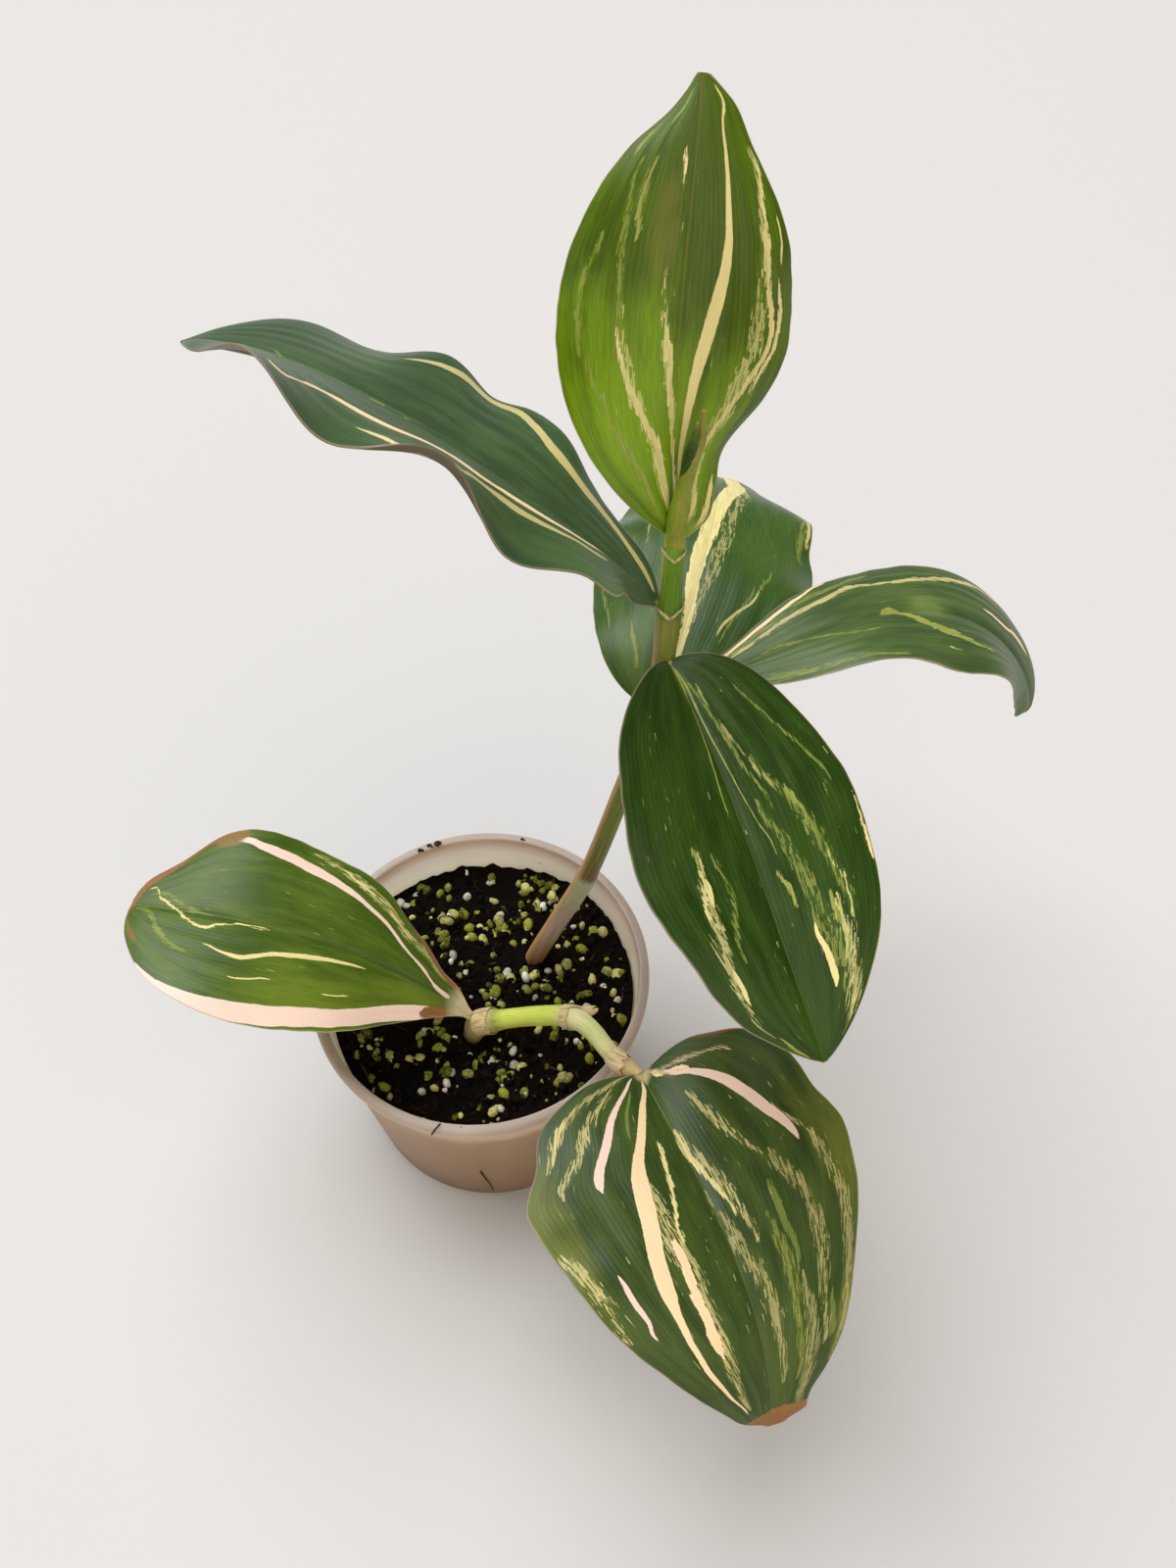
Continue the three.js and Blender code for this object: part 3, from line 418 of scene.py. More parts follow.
# The two rolled leaves, given like the canes.
SPEAR_LINE = (
    (48, 31.3, 185.2), (48.3, 33, 190.5), (49.5, 35.2, 196.4), (51, 36.8, 202),
    (52.6, 37.8, 206.5), (53.1, 39.8, 212),
)
SPEAR_RADII = ((0, 2.1), (0.2, 2), (0.45, 1.5), (0.65, 1.4), (0.78, 1.1), (0.88, 0.7), (1, 0.35))
SECOND_SPEAR_LINE = ((49.2, 35.4, 197), (50.3, 36.6, 202), (51.2, 37.4, 206), (51.9, 38, 210.5))
SECOND_SPEAR_RADII = ((0, 0.8), (0.35, 1.2), (0.6, 1.25), (0.8, 0.8), (1, 0.25))

# Colours along the canes, as parts of the length, from the soil to the top, and the tint
# of one side, with its turn round the cane, its strength, and the part where it fades out.
TALL_COLOURS = (
    (0.0, 0x6B3A22), (0.15, 0x7E4628), (0.19, 0x9C7458), (0.24, 0xB0998A), (0.31, 0xAE9A8E),
    (0.345, 0xA5A68C), (0.4, 0xA0AA8A), (0.41, 0x66502E), (0.45, 0x6E6636), (0.55, 0x6F782A),
    (0.7, 0x708030), (0.8, 0x76802A), (0.86, 0x747C24), (0.9, 0x848430), (0.912, 0x527A06),
    (0.96, 0x5E8408), (1.0, 0x74981C),
)
# The tall cane's lighter tan side is partly a painted highlight along its lit left side.
TALL_SIDE_TINT_AND_HIGHLIGHT = (0xC09460, 0.46, 0.8, 0.88)
SHORT_COLOURS = (
    (0.0, 0x4E3826), (0.25, 0x7A6242), (0.3, 0xBFA673), (0.38, 0xC9B480), (0.41, 0xA3AE52),
    (0.45, 0xD4DC64), (0.62, 0xC8D458), (0.66, 0xD2CC84), (0.74, 0xDFD3A0), (0.8, 0xC2C680),
    (0.88, 0xCCC68C), (0.94, 0xBE9C68), (1.0, 0xC9B27E),
)
SHORT_SIDE = (0xB99A5C, 0.0, 0.6, 1.2)

# Sheath collars: the cane, the parts of its length that it covers, its tear in mm, and how
# far in mm its mouth is lower at the front and back than at its sides.
COLLARS = (
    ("tall", 0.913, 0.918, 0.4, 2.4), ("tall", 0.984, 0.988, 0.4, 2.0),
    ("short", 0.33, 0.385, 0.8, 0.3), ("short", 0.66, 0.7, 1.4, 0.6),
    ("short", 0.9, 0.95, 1.6, 0.5),
)
# Torn end of a dry sheath at the short cane's bend: where it starts, where it ends, and
# its width, all in mm.
STUB = ((22.5, -19.3, 77.3), (31.5, -18.5, 79.5), 4.5)

# Grains of the potting mix: the piece and its finish, its dark and light tones, the size of
# its blotches, its smallest and largest radius in mm, how finely a grain is divided, how
# much longer it is than wide, how many there are for each granule and each crumb that the
# settings ask for, and its roughness.
Grains = namedtuple(
    "Grains", "piece finish dark light blotch smallest largest faces stretch granules crumbs roughness")
GRAINS = (
    Grains("olive_granules", "olive zeolite granule", 0x545A18, 0xDCD488, 0.9, 0.5, 1.8, 2, 1.25,
           1.7, 0, 0.8),
    Grains("pale_granules", "pale pumice granule", 0x8C8A6C, 0xF0ECDC, 0.9, 0.35, 1.5, 2, 1.2,
           1.2, 0, 0.8),
    Grains("moss_granules", "algae-stained granule", 0x262C0A, 0x9EA03E, 0.9, 0.4, 1.8, 2, 1.3,
           2.0, 0, 0.8),
    Grains("peat_crumbs", "damp peat crumb", 0x040302, 0x1E140D, 1.2, 0.45, 1.3, 1, 1.3,
           0, 1, 1.0),
    Grains("bark_fibres", "brown bark fibre", 0x1C110A, 0x4A3220, 1.5, 0.2, 0.45, 1, 7.0,
           0, 0.11, 0.9),
)

# Dark bits on the pot: a rootlet over the rim, one on the wall, and crumbs on the rim. Each
# is a radius in mm and a row of places: turn in degrees from +X, height in mm, and distance
# out from the wall in mm.
ROOTLETS = (
    (0.3, (-101, 57, -1.4), (-101, 64, -1.0), (-101.5, 66.2, 0.4), (-103, 64.5, 2.0),
     (-104, 60.5, 0.9), (-105.5, 57, 0.5)),
    (0.26, (-92.5, 25, 0.15), (-91.6, 19, 0.15), (-90.2, 11, 0.15), (-89.6, 5, 0.3)),
    (0.9, (109.4, 65.4, -0.6), (108.4, 65.8, 0.0), (107.2, 65.5, -0.4)),
    (0.5, (112.4, 65.6, 0.2), (111.4, 65.9, 0.0), (110.8, 65.5, -0.8)),
    (0.6, (116.2, 65.5, -0.2), (115.2, 65.8, -0.5), (114.4, 65.4, -0.9)),
    (0.4, (76.4, 65.5, 0.0), (75.6, 65.8, -0.2), (75.0, 65.5, -0.4)),
)

# The camera sees 1600 px of height through this focal length in px, tilted down and rolled.
PHOTO_HEIGHT_PX = 1600
FOCAL_PX = 1253
SENSOR_MM = 36
CAMERA_PLACE = (29.6, -157.5, 356.1)
CAMERA_DOWN = 53.0
CAMERA_ROLL = 1.1

UV_NAME = "blade"
HALF_NAME = "half_mm"
UNDER_NAME = "under"


def length(name, description, millimetres):
    """Property for a length, with its default in mm."""
    return FloatProperty(name=name, description=description, default=millimetres * MM, unit="LENGTH")


def paint(name, description, code):
    """Property for a colour, with its default as an sRGB hex value."""
    return FloatVectorProperty(
        name=name, description=description, subtype="COLOR", size=4, default=linear(code))


class PotProps(bpy.types.PropertyGroup):
    height: FloatProperty(
        name="Height", description="Pot height", default=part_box("pot")[1].z, unit="LENGTH")
    rim_radius: FloatProperty(
        name="Rim radius", description="Outer radius of the rim's lip",
        default=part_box("pot")[1].x, unit="LENGTH")
    base_radius: length("Base radius", "Outer radius at the base", 37.5)
    lip: length("Lip", "How far the rim's lip stands out", 1.6)
    lip_depth: length("Lip depth", "Height of the rim's lip", 3)
    wall: length("Wall", "Wall thickness", 1)
    floor: length("Floor", "Floor thickness", 1.5)
    drain_holes: IntProperty(
        name="Drain holes", description="Number of drain holes", default=8, min=0)
    drain_radius: length("Drain radius", "Radius of a drain hole", 2.5)
    drain_circle: length("Drain circle", "Radius of the drain holes' circle", 27)
    colour: paint("Colour", "Frosted plastic", 0xA8988C)


class SoilProps(bpy.types.PropertyGroup):
    level: length("Level", "Mean height of the soil", 54)
    swell: length("Swell", "Height of the soil's low swells", 1.2)
    crumble: length("Crumble", "Height of the crumbs in the bed", 1.6)
    granules: IntProperty(
        name="Granules", description="Granules of each kind, roughly", default=95)
    crumbs: IntProperty(name="Crumbs", description="Peat crumbs, roughly", default=1500)
    seed: IntProperty(name="Seed", description="Seed of the scatter", default=7)


class CaneProps(bpy.types.PropertyGroup):
    sides: IntProperty(name="Sides", description="Sides of a cane", default=28)
    steps: IntProperty(name="Steps", description="Rings along a cane", default=240)
    sheath: paint("Sheath", "Papery dry sheath", 0xDAC694)


class LeafProps(bpy.types.PropertyGroup):
    rows: IntProperty(name="Rows", description="Faces along a leaf", default=150)
    columns: IntProperty(name="Columns", description="Faces across half a leaf", default=44)
    rib_thickness: length("Rib thickness", "Thickness near the midrib", 0.75)
    margin_thickness: length("Margin thickness", "Thickness at the margin", 0.35)
    vein_gap: length("Vein gap", "Distance between veins", 1.15)
    pleat: length("Pleat", "Height of the soft pleats between main veins", 0.07)
    gloss: FloatProperty(
        name="Roughness", description="Roughness of the cuticle", default=0.34, subtype="FACTOR")
    wax: FloatProperty(
        name="Wax", description="Specular level of the cuticle", default=0.42, subtype="FACTOR")


class StageProps(bpy.types.PropertyGroup):
    floor: paint("Floor", "Pale floor", 0xCFCCC8)
    key_power: FloatProperty(
        name="Key light", description="Strength of the wide soft key light", default=3.3)
    fill_power: FloatProperty(
        name="Fill light", description="Strength of the wide soft fill light", default=1.4)
    sky: FloatProperty(name="Sky", description="Strength of the soft sky", default=0.16)


def set_inputs(node, inputs=None, **named):
    """Gives a node's inputs values, or links from sockets or from nodes' outputs.

    A named input has _ for each space, and a node stands for its first output in use.
    """
    named = {name.replace("_", " "): value for name, value in named.items()}
    for key, value in {**(inputs or {}), **named}.items():
        if isinstance(value, bpy.types.Node):
            value = next(output for output in value.outputs if output.enabled)
        if isinstance(value, bpy.types.NodeSocket):
            node.id_data.links.new(value, node.inputs[key])
        else:
            node.inputs[key].default_value = value


def add_node(tree, kind, inputs=None, **settings):
    """Adds a node with its settings and inputs. A kind without Node in it is a shader's."""
    node = tree.nodes.new(kind if "Node" in kind else "ShaderNode" + kind)
    for name, value in settings.items():
        setattr(node, name, value)
    set_inputs(node, inputs)
    return node


def new_material(name):
    """Gives an empty material, the function that adds its nodes, and its Principled shader."""
    material = bpy.data.materials.new(name)
    material.use_nodes = True
    tree = material.node_tree
    return material, partial(add_node, tree), tree.nodes["Principled BSDF"]


def set_stops(ramp, *stops):
    """Sets a ramp's places and colours, from its first to its last."""
    elements = ramp.color_ramp.elements
    elements[0].position, elements[0].color = stops[0]
    elements[1].position, elements[1].color = stops[-1]
    for place, colour in stops[1:-1]:
        elements.new(place).color = colour


def make_object(name, vertices, faces, uvs=None, smooth=True):
    """Makes an object from points and faces in metres, with a UV for each vertex if given."""
    mesh = bpy.data.meshes.new(name)
    mesh.from_pydata([tuple(v) for v in vertices], [], [tuple(f) for f in faces])
    mesh.update()
    if uvs is not None:
        layer = mesh.uv_layers.new(name=UV_NAME)
        corners = np.empty(len(mesh.loops), np.int32)
        mesh.loops.foreach_get("vertex_index", corners)
        layer.data.foreach_set("uv", np.asarray(uvs, np.float32)[corners].ravel())
    mesh.polygons.foreach_set("use_smooth", [smooth] * len(mesh.polygons))
    obj = bpy.data.objects.new(name, mesh)
    bpy.context.scene.collection.objects.link(obj)
    return obj


def add_values(obj, name, values):
    """Stores one number for each vertex."""
    attribute = obj.data.attributes.new(name, "FLOAT", "POINT")
    attribute.data.foreach_set("value", np.asarray(values, np.float32))


def finish_piece(obj, material, slot, *nodes):
    """Gives a piece its material and lets it ride on the part, in place of its nodes."""
    if material:
        obj.data.materials.clear()
        obj.data.materials.append(material)
    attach(obj, BODY)
    if nodes:
        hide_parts(*nodes)


def applied(obj):
    """Turns an object with modifiers into a plain mesh with the same name."""
    graph = bpy.context.evaluated_depsgraph_get()
    mesh = bpy.data.meshes.new_from_object(obj.evaluated_get(graph))
    obj.modifiers.clear()
    obj.data = mesh
    return obj


def smooth_line(line, count):
    """Samples a centripetal Catmull-Rom curve through points at even steps of its length."""
    points = np.array(line, float)
    points = np.vstack([2 * points[0] - points[1], points, 2 * points[-1] - points[-2]])
    fine = []
    for a, b, c, d in zip(points, points[1:], points[2:], points[3:]):
        knots = np.cumsum([0] + [np.linalg.norm(q - p) ** 0.5 for p, q in ((a, b), (b, c), (c, d))])
        t = np.linspace(knots[1], knots[2], 24, endpoint=False)[:, None]

        def between(p, q, i, j):
            gap = knots[j] - knots[i]
            return p * (knots[j] - t) / gap + q * (t - knots[i]) / gap

        ab, bc, cd = between(a, b, 0, 1), between(b, c, 1, 2), between(c, d, 2, 3)
        abc, bcd = between(ab, bc, 0, 2), between(bc, cd, 1, 3)
        fine.append(between(abc, bcd, 1, 2))
    fine = np.vstack(fine + [points[-2:-1]])
    reach = np.concatenate([[0], np.cumsum(np.linalg.norm(np.diff(fine, axis=0), axis=1))])
    even = np.linspace(0, reach[-1], count)
    return np.stack([np.interp(even, reach, fine[:, k]) for k in range(3)], axis=1)


def ring_frames(centres):
    """Gives two directions across a line at each of its points."""
    along = np.gradient(centres, axis=0)
    along /= np.linalg.norm(along, axis=1)[:, None]
    across = np.cross([0.0, 1.0, 0.0], along)
    across /= np.linalg.norm(across, axis=1)[:, None]
    return across, np.cross(along, across)


def skin_faces(rings, sides, start, first, last):
    """Faces between rings of points, closed by fans round a first and a last point."""
    pairs = [(side, (side + 1) % sides) for side in range(sides)]
    top = start + (rings - 1) * sides
    faces = []
    for ring in range(start, top, sides):
        faces += [(ring + s, ring + t, ring + sides + t, ring + sides + s) for s, t in pairs]
    for s, t in pairs:
        faces += [(first, start + t, start + s), (last, top + s, top + t)]
    return faces


def sheet_faces(high, wide):
    """Faces of a closed sheet whose two sides are grids of points, and its border's points."""
    index = np.arange(high * wide).reshape(high, wide)
    a, b, c, d = index[:-1, :-1], index[:-1, 1:], index[1:, 1:], index[1:, :-1]
    top = np.stack([a, d, c, b], -1).reshape(-1, 4)
    bottom = np.stack([a, b, c, d], -1).reshape(-1, 4) + high * wide
    border = np.concatenate([index[0, :-1], index[:-1, -1], index[-1, :0:-1], index[:0:-1, 0]])
    onward = np.roll(border, -1)
    edge = np.stack([border, onward, onward + high * wide, border + high * wide], -1)
    return np.concatenate([top, bottom, edge]), border


def sheet_normals(grid):
    """Directions away from a sheet at each point of its grid."""
    normal = np.cross(np.gradient(grid, axis=0), np.gradient(grid, axis=1))
    return normal / np.linalg.norm(normal, axis=2)[:, :, None]


def tube(centres, radii, sides, wobble=0.0, seed=0, swirl=0.0):
    """Closed tube round a line in mm, with rounded ends, as points in metres, faces and UVs.

    wobble is the height of lengthwise ridges as a share of the radius, and swirl is the
    step that a rolled-up blade's free edge makes in the section, also as a share.
    """
    across, up = ring_frames(centres)
    turns = np.arange(sides) / sides
    angle = 2 * math.pi * turns
    count = len(centres)
    parts = np.linspace(0, 1, count)
    points = []
    for i in range(count):
        ridges = [
            noise.noise(Vector((3 * math.cos(a), 3 * math.sin(a), 4 * parts[i] + seed))) for a in angle
        ]
        section = radii[i] * (1 + wobble * np.array(ridges) + swirl * (turns - 0.5))
        ring = (
            centres[i]
            + np.outer(section * np.cos(angle), across[i])
            + np.outer(section * np.sin(angle), up[i])
        )
        points.append(ring)
    vertices = np.vstack(points + [centres[:1], centres[-1:]]) * MM
    uvs = [(parts[i], turns[s]) for i in range(count) for s in range(sides)]
    uvs += [(0.0, 0.5), (1.0, 0.5)]
    return vertices, skin_faces(count, sides, 0, count * sides, count * sides + 1), uvs


def radii_along(stations, count):
    """Radius at even steps of the length, with the corners between stations eased."""
    parts, radii = np.array(stations).T
    raw = np.interp(np.linspace(0, 1, count), parts, radii)
    kernel = np.array([1, 2, 3, 2, 1]) / 9
    return np.convolve(np.pad(raw, 2, mode="edge"), kernel, mode="valid")


def face_outwards(obj):
    """Points an object's faces out."""
    mesh = bmesh.new()
    mesh.from_mesh(obj.data)
    bmesh.ops.recalc_face_normals(mesh, faces=mesh.faces)
    mesh.to_mesh(obj.data)
    mesh.free()


def three_point(values, part):
    """Value of a smooth curve through three values at a leaf's base, middle and tip."""
    base, middle, tip = values
    return base * (1 - part) * (1 - 2 * part) + middle * 4 * part * (1 - part) + tip * part * (2 * part - 1)


def leaf_directions(leaf, part):
    """Direction of the midrib, the left side and the upper face at parts of the length."""
    heading, rise, roll = (
        np.radians(three_point(v, part)) for v in (leaf.heading, leaf.rise, leaf.roll)
    )
    zero = np.zeros_like(part)
    ahead = np.stack([np.cos(rise) * np.cos(heading), np.cos(rise) * np.sin(heading), np.sin(rise)], 1)
    level = np.stack([-np.sin(heading), np.cos(heading), zero], 1)
    upright = np.cross(ahead, level)
    cos, sin = np.cos(roll)[:, None], np.sin(roll)[:, None]
    return ahead, level * cos + upright * sin, upright * cos - level * sin


def leaf_surface(leaf, rows, columns, pleat, seed):
    """Middle surface of a leaf: points in mm, place along and across, and half width."""
    even = np.linspace(0, 1, rows + 1)
    part = (even + (1 - np.cos(math.pi * even)) / 2) / 2
    midrib_steps, main_veins, wobble, least_reach = 2000, 5.5, 0.22, 0.25
    base_stub, tip_stub, groove_depth, groove_reach = 1.4, 0.4, 0.55, 0.9
    fine = np.linspace(0, 1, midrib_steps + 1)
    steps = leaf_directions(leaf, (fine[1:] + fine[:-1]) / 2)[0] * leaf.length / midrib_steps
    walked = np.vstack([np.zeros(3), np.cumsum(steps, axis=0)])
    midrib = np.array(leaf.base) + np.stack([np.interp(part, fine, walked[:, k]) for k in range(3)], 1)
    ahead, left, up = leaf_directions(leaf, part)

    def near(place, spread):
        return np.exp(-(((part - place) * leaf.length / spread) ** 2))

    for side, place, amount, spread in leaf.margin_shifts:
        if side in (0, 2):
            midrib = midrib + amount * near(place, spread)[:, None] * (up if side else left)
    widest = leaf.base_power / (leaf.base_power + leaf.tip_power)
    shape = (part / widest) ** leaf.base_power * ((1 - part) / (1 - widest)) ** leaf.tip_power
    half = np.hypot(leaf.width / 2 * shape, base_stub + (tip_stub - base_stub) * part)
    swell = np.sqrt(np.clip(np.sin(math.pi * part), 0, None))
    share = np.linspace(0, 1, columns + 1)
    middle = (share[1:] + share[:-1]) / 2
    sides = []
    for hand, (height, phase) in ((-1, leaf.right), (1, leaf.left)):
        rolled = np.zeros((rows + 1, columns))
        for side, place, degrees, spread, start in leaf.curls:
            if side == hand:
                rolled += degrees * np.outer(
                    near(place, spread), np.clip((middle - start) / (1 - start), 0, 1))
        slope = np.radians(
            leaf.fold + leaf.clasp * (1 - part[:, None]) ** 8 - leaf.bend * middle[None, :] + rolled)
        out = np.hstack([np.zeros((rows + 1, 1)), np.cumsum(np.cos(slope), axis=1) / columns])
        lift = np.hstack([np.zeros((rows + 1, 1)), np.cumsum(np.sin(slope), axis=1) / columns])
        wave = height * swell * np.sin(2 * math.pi * (leaf.waves * part + phase))
        reach = half + wobble * swell * np.array(
            [noise.noise(Vector((p * leaf.length / 4, hand * 5, seed))) for p in part])
        for side, place, amount, spread in leaf.margin_shifts:
            if side == hand:
                reach += amount * near(place, spread)
        reach = np.maximum(reach, least_reach)
        width = reach[:, None] * out
        bows = np.cos(2 * math.pi * main_veins * share) * np.sin(math.pi * np.clip(share * 1.02, 0, 1))
        groove = -groove_depth * np.exp(-((half[:, None] * share[None, :]) / groove_reach) ** 2)
        height_mm = (
            reach[:, None] * lift
            + wave[:, None] * share[None, :] ** 1.7
            + pleat / MM * swell[:, None] * bows[None, :]
            + groove * swell[:, None]
        )
        setback = (half * leaf.lobe * (1 - part) ** 3)[:, None] * share[None, :]
        grid = (
            midrib[:, None]
            + hand * width[:, :, None] * left[:, None]
            + height_mm[:, :, None] * up[:, None]
            - setback[:, :, None] * ahead[:, None]
        )
        sides.append(grid[:, ::-1] if hand < 0 else grid[:, 1:])
    across = np.concatenate([-share[::-1], share[1:]])
    return np.concatenate(sides, axis=1), part, across, half


def leaf_mesh(name, leaf, props, seed):
    """Closed blade that is thin at its margins, with the attributes that its material reads."""
    taper, rib_height, rib_reach = 4, 0.45, 0.8
    grid, part, across, half = leaf_surface(leaf, props.rows, props.columns, props.pleat, seed)
    normal = sheet_normals(grid)
    rim = np.minimum(1, (half[:, None] * (1 - np.abs(across))[None, :]) / taper)
    ends = np.minimum(1, part * leaf.length / taper) * np.minimum(1, (1 - part) * leaf.length / taper)
    body = rim * ends[:, None]
    thick = props.margin_thickness + (props.rib_thickness - props.margin_thickness) * body
    thick = thick / MM
    rib = rib_height * np.exp(-((half[:, None] * across[None, :]) / rib_reach) ** 2) * ends[:, None]
    upper = grid + normal * (thick / 2)[:, :, None]
    lower = grid - normal * (thick / 2 + rib)[:, :, None]
    wide = len(across)
    high = props.rows + 1
    faces, border = sheet_faces(high, wide)
    vertices = np.concatenate([upper.reshape(-1, 3), lower.reshape(-1, 3)]) * MM
    u = np.repeat(part, wide)
    v = np.tile(across * 0.5 + 0.5, high)
    obj = make_object(name, vertices, faces, np.stack([np.tile(u, 2), np.tile(v, 2)], 1))
    add_values(obj, HALF_NAME, np.tile(np.repeat(half, wide), 2))
    add_values(obj, UNDER_NAME, np.repeat([0.0, 1.0], high * wide))
    mark_sharp(obj, border, high * wide)
    return obj


def mark_sharp(obj, border, offset):
    """Keeps the shading of a blade's two faces apart at its margin."""
    pairs = np.stack([border, np.roll(border, -1)], 1)
    pairs = np.concatenate([pairs, pairs + offset])
    sharp = {tuple(sorted(pair)) for pair in pairs.tolist()}
    flags = [tuple(sorted(edge.vertices)) in sharp for edge in obj.data.edges]
    attribute = obj.data.attributes.new("sharp_edge", "BOOLEAN", "EDGE")
    attribute.data.foreach_set("value", flags)


# Leaf tints, each with the one that mottles it. Cream, peach and pink are blade without
# green, and straw, lime and olive are blade with a thin layer of it. Tan, rust and burn are
# dry.
TINTS = {
    "olive": (0x77853C, 0x56682A), "lime": (0x9DA34C, 0x6F7D30), "cream": (0xECDC98, 0xBDB45E),
    "peach": (0xFCDCAE, 0xF0CE94), "pink": (0xF6D6C4, 0xEECAA6), "burn": (0x9A683C, 0x4E2E1A),
    "tan": (0x8A7A30, 0x6E7420), "rust": (0x9A6A2C, 0x76662A), "straw": (0xCBBE80, 0xA09A50),
}
# How a stripe's edge breaks up: how far in mm a streak moves it, how far a cell does, how
# far out it starts, and how much its second tint shows. A flecked stripe is a spray of
# cells instead, which thins out from the middle, so it has no reach in mm.
EDGES = {
    "clean": (0.25, 0.12, 0.06, 0.12), "ragged": (0.5, 0.8, 0.38, 0.35),
    "flecked": (0.0, 0.0, 0.0, 0.6),
}
# Cells of the blade, across and along the veins in mm, and how much each size counts.
CELLS = ((0.24, 1.5, 0.5), (0.5, 3.6, 0.5))


def stripe_distance(add, stripes, vein_share, half, along, relative):
    """Distance in mm inside the nearest of several stripes, and below 0 outside them all.

    A relative distance is a share of the stripe's half width instead.
    """
    nearest = None
    for path in stripes:
        curve = add("VectorCurve", {"Vector": along})
        places = [(path[0][0] - 0.02, path[0][1], -2.0), *path, (path[-1][0] + 0.02, path[-1][1], -2.0)]
        for axis, column, scale in ((0, 1, 1.0), (1, 2, 0.1)):
            points = curve.mapping.curves[axis].points
            points[0].location = (places[0][0], places[0][column] * scale)
            points[1].location = (places[-1][0], places[-1][column] * scale)
            for place in places[1:-1]:
                points.new(place[0], place[column] * scale)
            for point in points:
                point.handle_type = "AUTO_CLAMPED"
        curve.mapping.update()
        parts = add("SeparateXYZ", {0: curve})
        aside = add("Math", {0: vein_share, 1: parts.outputs["X"]}, operation="SUBTRACT")
        aside = add("Math", {0: aside}, operation="ABSOLUTE")
        aside = add("Math", {0: aside, 1: half}, operation="MULTIPLY")
        reach = add("Math", {0: parts.outputs["Y"], 1: 5.0}, operation="MULTIPLY")
        inside = add("Math", {0: reach, 1: aside}, operation="SUBTRACT")
        if relative:
            reach = add("Math", {0: reach, 1: 0.3}, operation="MAXIMUM")
            inside = add("Math", {0: inside, 1: reach}, operation="DIVIDE")
        if nearest is not None:
            inside = add("Math", {0: nearest, 1: inside}, operation="MAXIMUM")
        nearest = inside
    return nearest


def patch_share(add, leaf, patches, flow, stretch):
    """How far inside the nearest of several patches: 1 at a middle, 0 at an edge.

    The reach along the veins is stretch times the reach across them.
    """
    nearest = None
    squeezed = add("VectorMath", {0: flow, 1: (1.0, 1 / stretch, 0.0)}, operation="MULTIPLY")
    for _, part, share, reach in patches:
        centre = (share * leaf.width / 2, part * leaf.length / stretch, 0.0)
        away = add("VectorMath", {0: squeezed, 1: centre}, operation="DISTANCE")
        inside = add("Math", {0: away, 1: -stretch ** 0.5 / reach, 2: 1.0}, operation="MULTIPLY_ADD")
        if nearest is not None:
            inside = add("Math", {0: nearest, 1: inside}, operation="MAXIMUM")
        nearest = inside
    return nearest


def streaks(add, flow, across_mm, along_mm, shift, detail=2.0):
    """Noise drawn out along the veins, with streaks of a given width and length in mm."""
    spread = add(
        "VectorMath", {0: flow, 1: (1 / across_mm, 1 / along_mm, 1.0), 2: (shift, shift, 0.0)},
        operation="MULTIPLY_ADD")
    return add("TexNoise", {"Vector": spread, "Scale": 1.0, "Detail": detail}, noise_dimensions="2D")


def blade_cells(add, flow, seed):
    """Random shares for short, narrow cells of the blade, which start at odd places in rows."""
    total = None
    bend = add("TexNoise", {"Vector": flow, "Scale": 0.5, "Detail": 2.0}, noise_dimensions="2D")
    bent = add(
        "VectorMath", {0: bend.outputs["Color"], 1: (0.25, 1.2, 0.0), 2: flow},
        operation="MULTIPLY_ADD")
    for across_mm, along_mm, weight in CELLS:
        scaled = add(
            "VectorMath", {0: bent, 1: (1 / across_mm, 1 / along_mm, 0.0), 2: (seed, seed, 0.0)},
            operation="MULTIPLY_ADD")
        row = add("SeparateXYZ", {0: scaled})
        row = add("Math", {0: row.outputs["X"]}, operation="FLOOR")
        start = add("TexWhiteNoise", {"W": row}, noise_dimensions="1D")
        moved = add("VectorMath", {0: start, 1: (0.0, 13.0, 0.0), 2: scaled}, operation="MULTIPLY_ADD")
        corner = add("VectorMath", {0: moved}, operation="FLOOR")
        cell = add("TexWhiteNoise", {"Vector": corner}, noise_dimensions="2D")
        total = add(
            "Math", {0: cell, 1: weight, 2: 0.0 if total is None else total}, operation="MULTIPLY_ADD")
    return total, cell


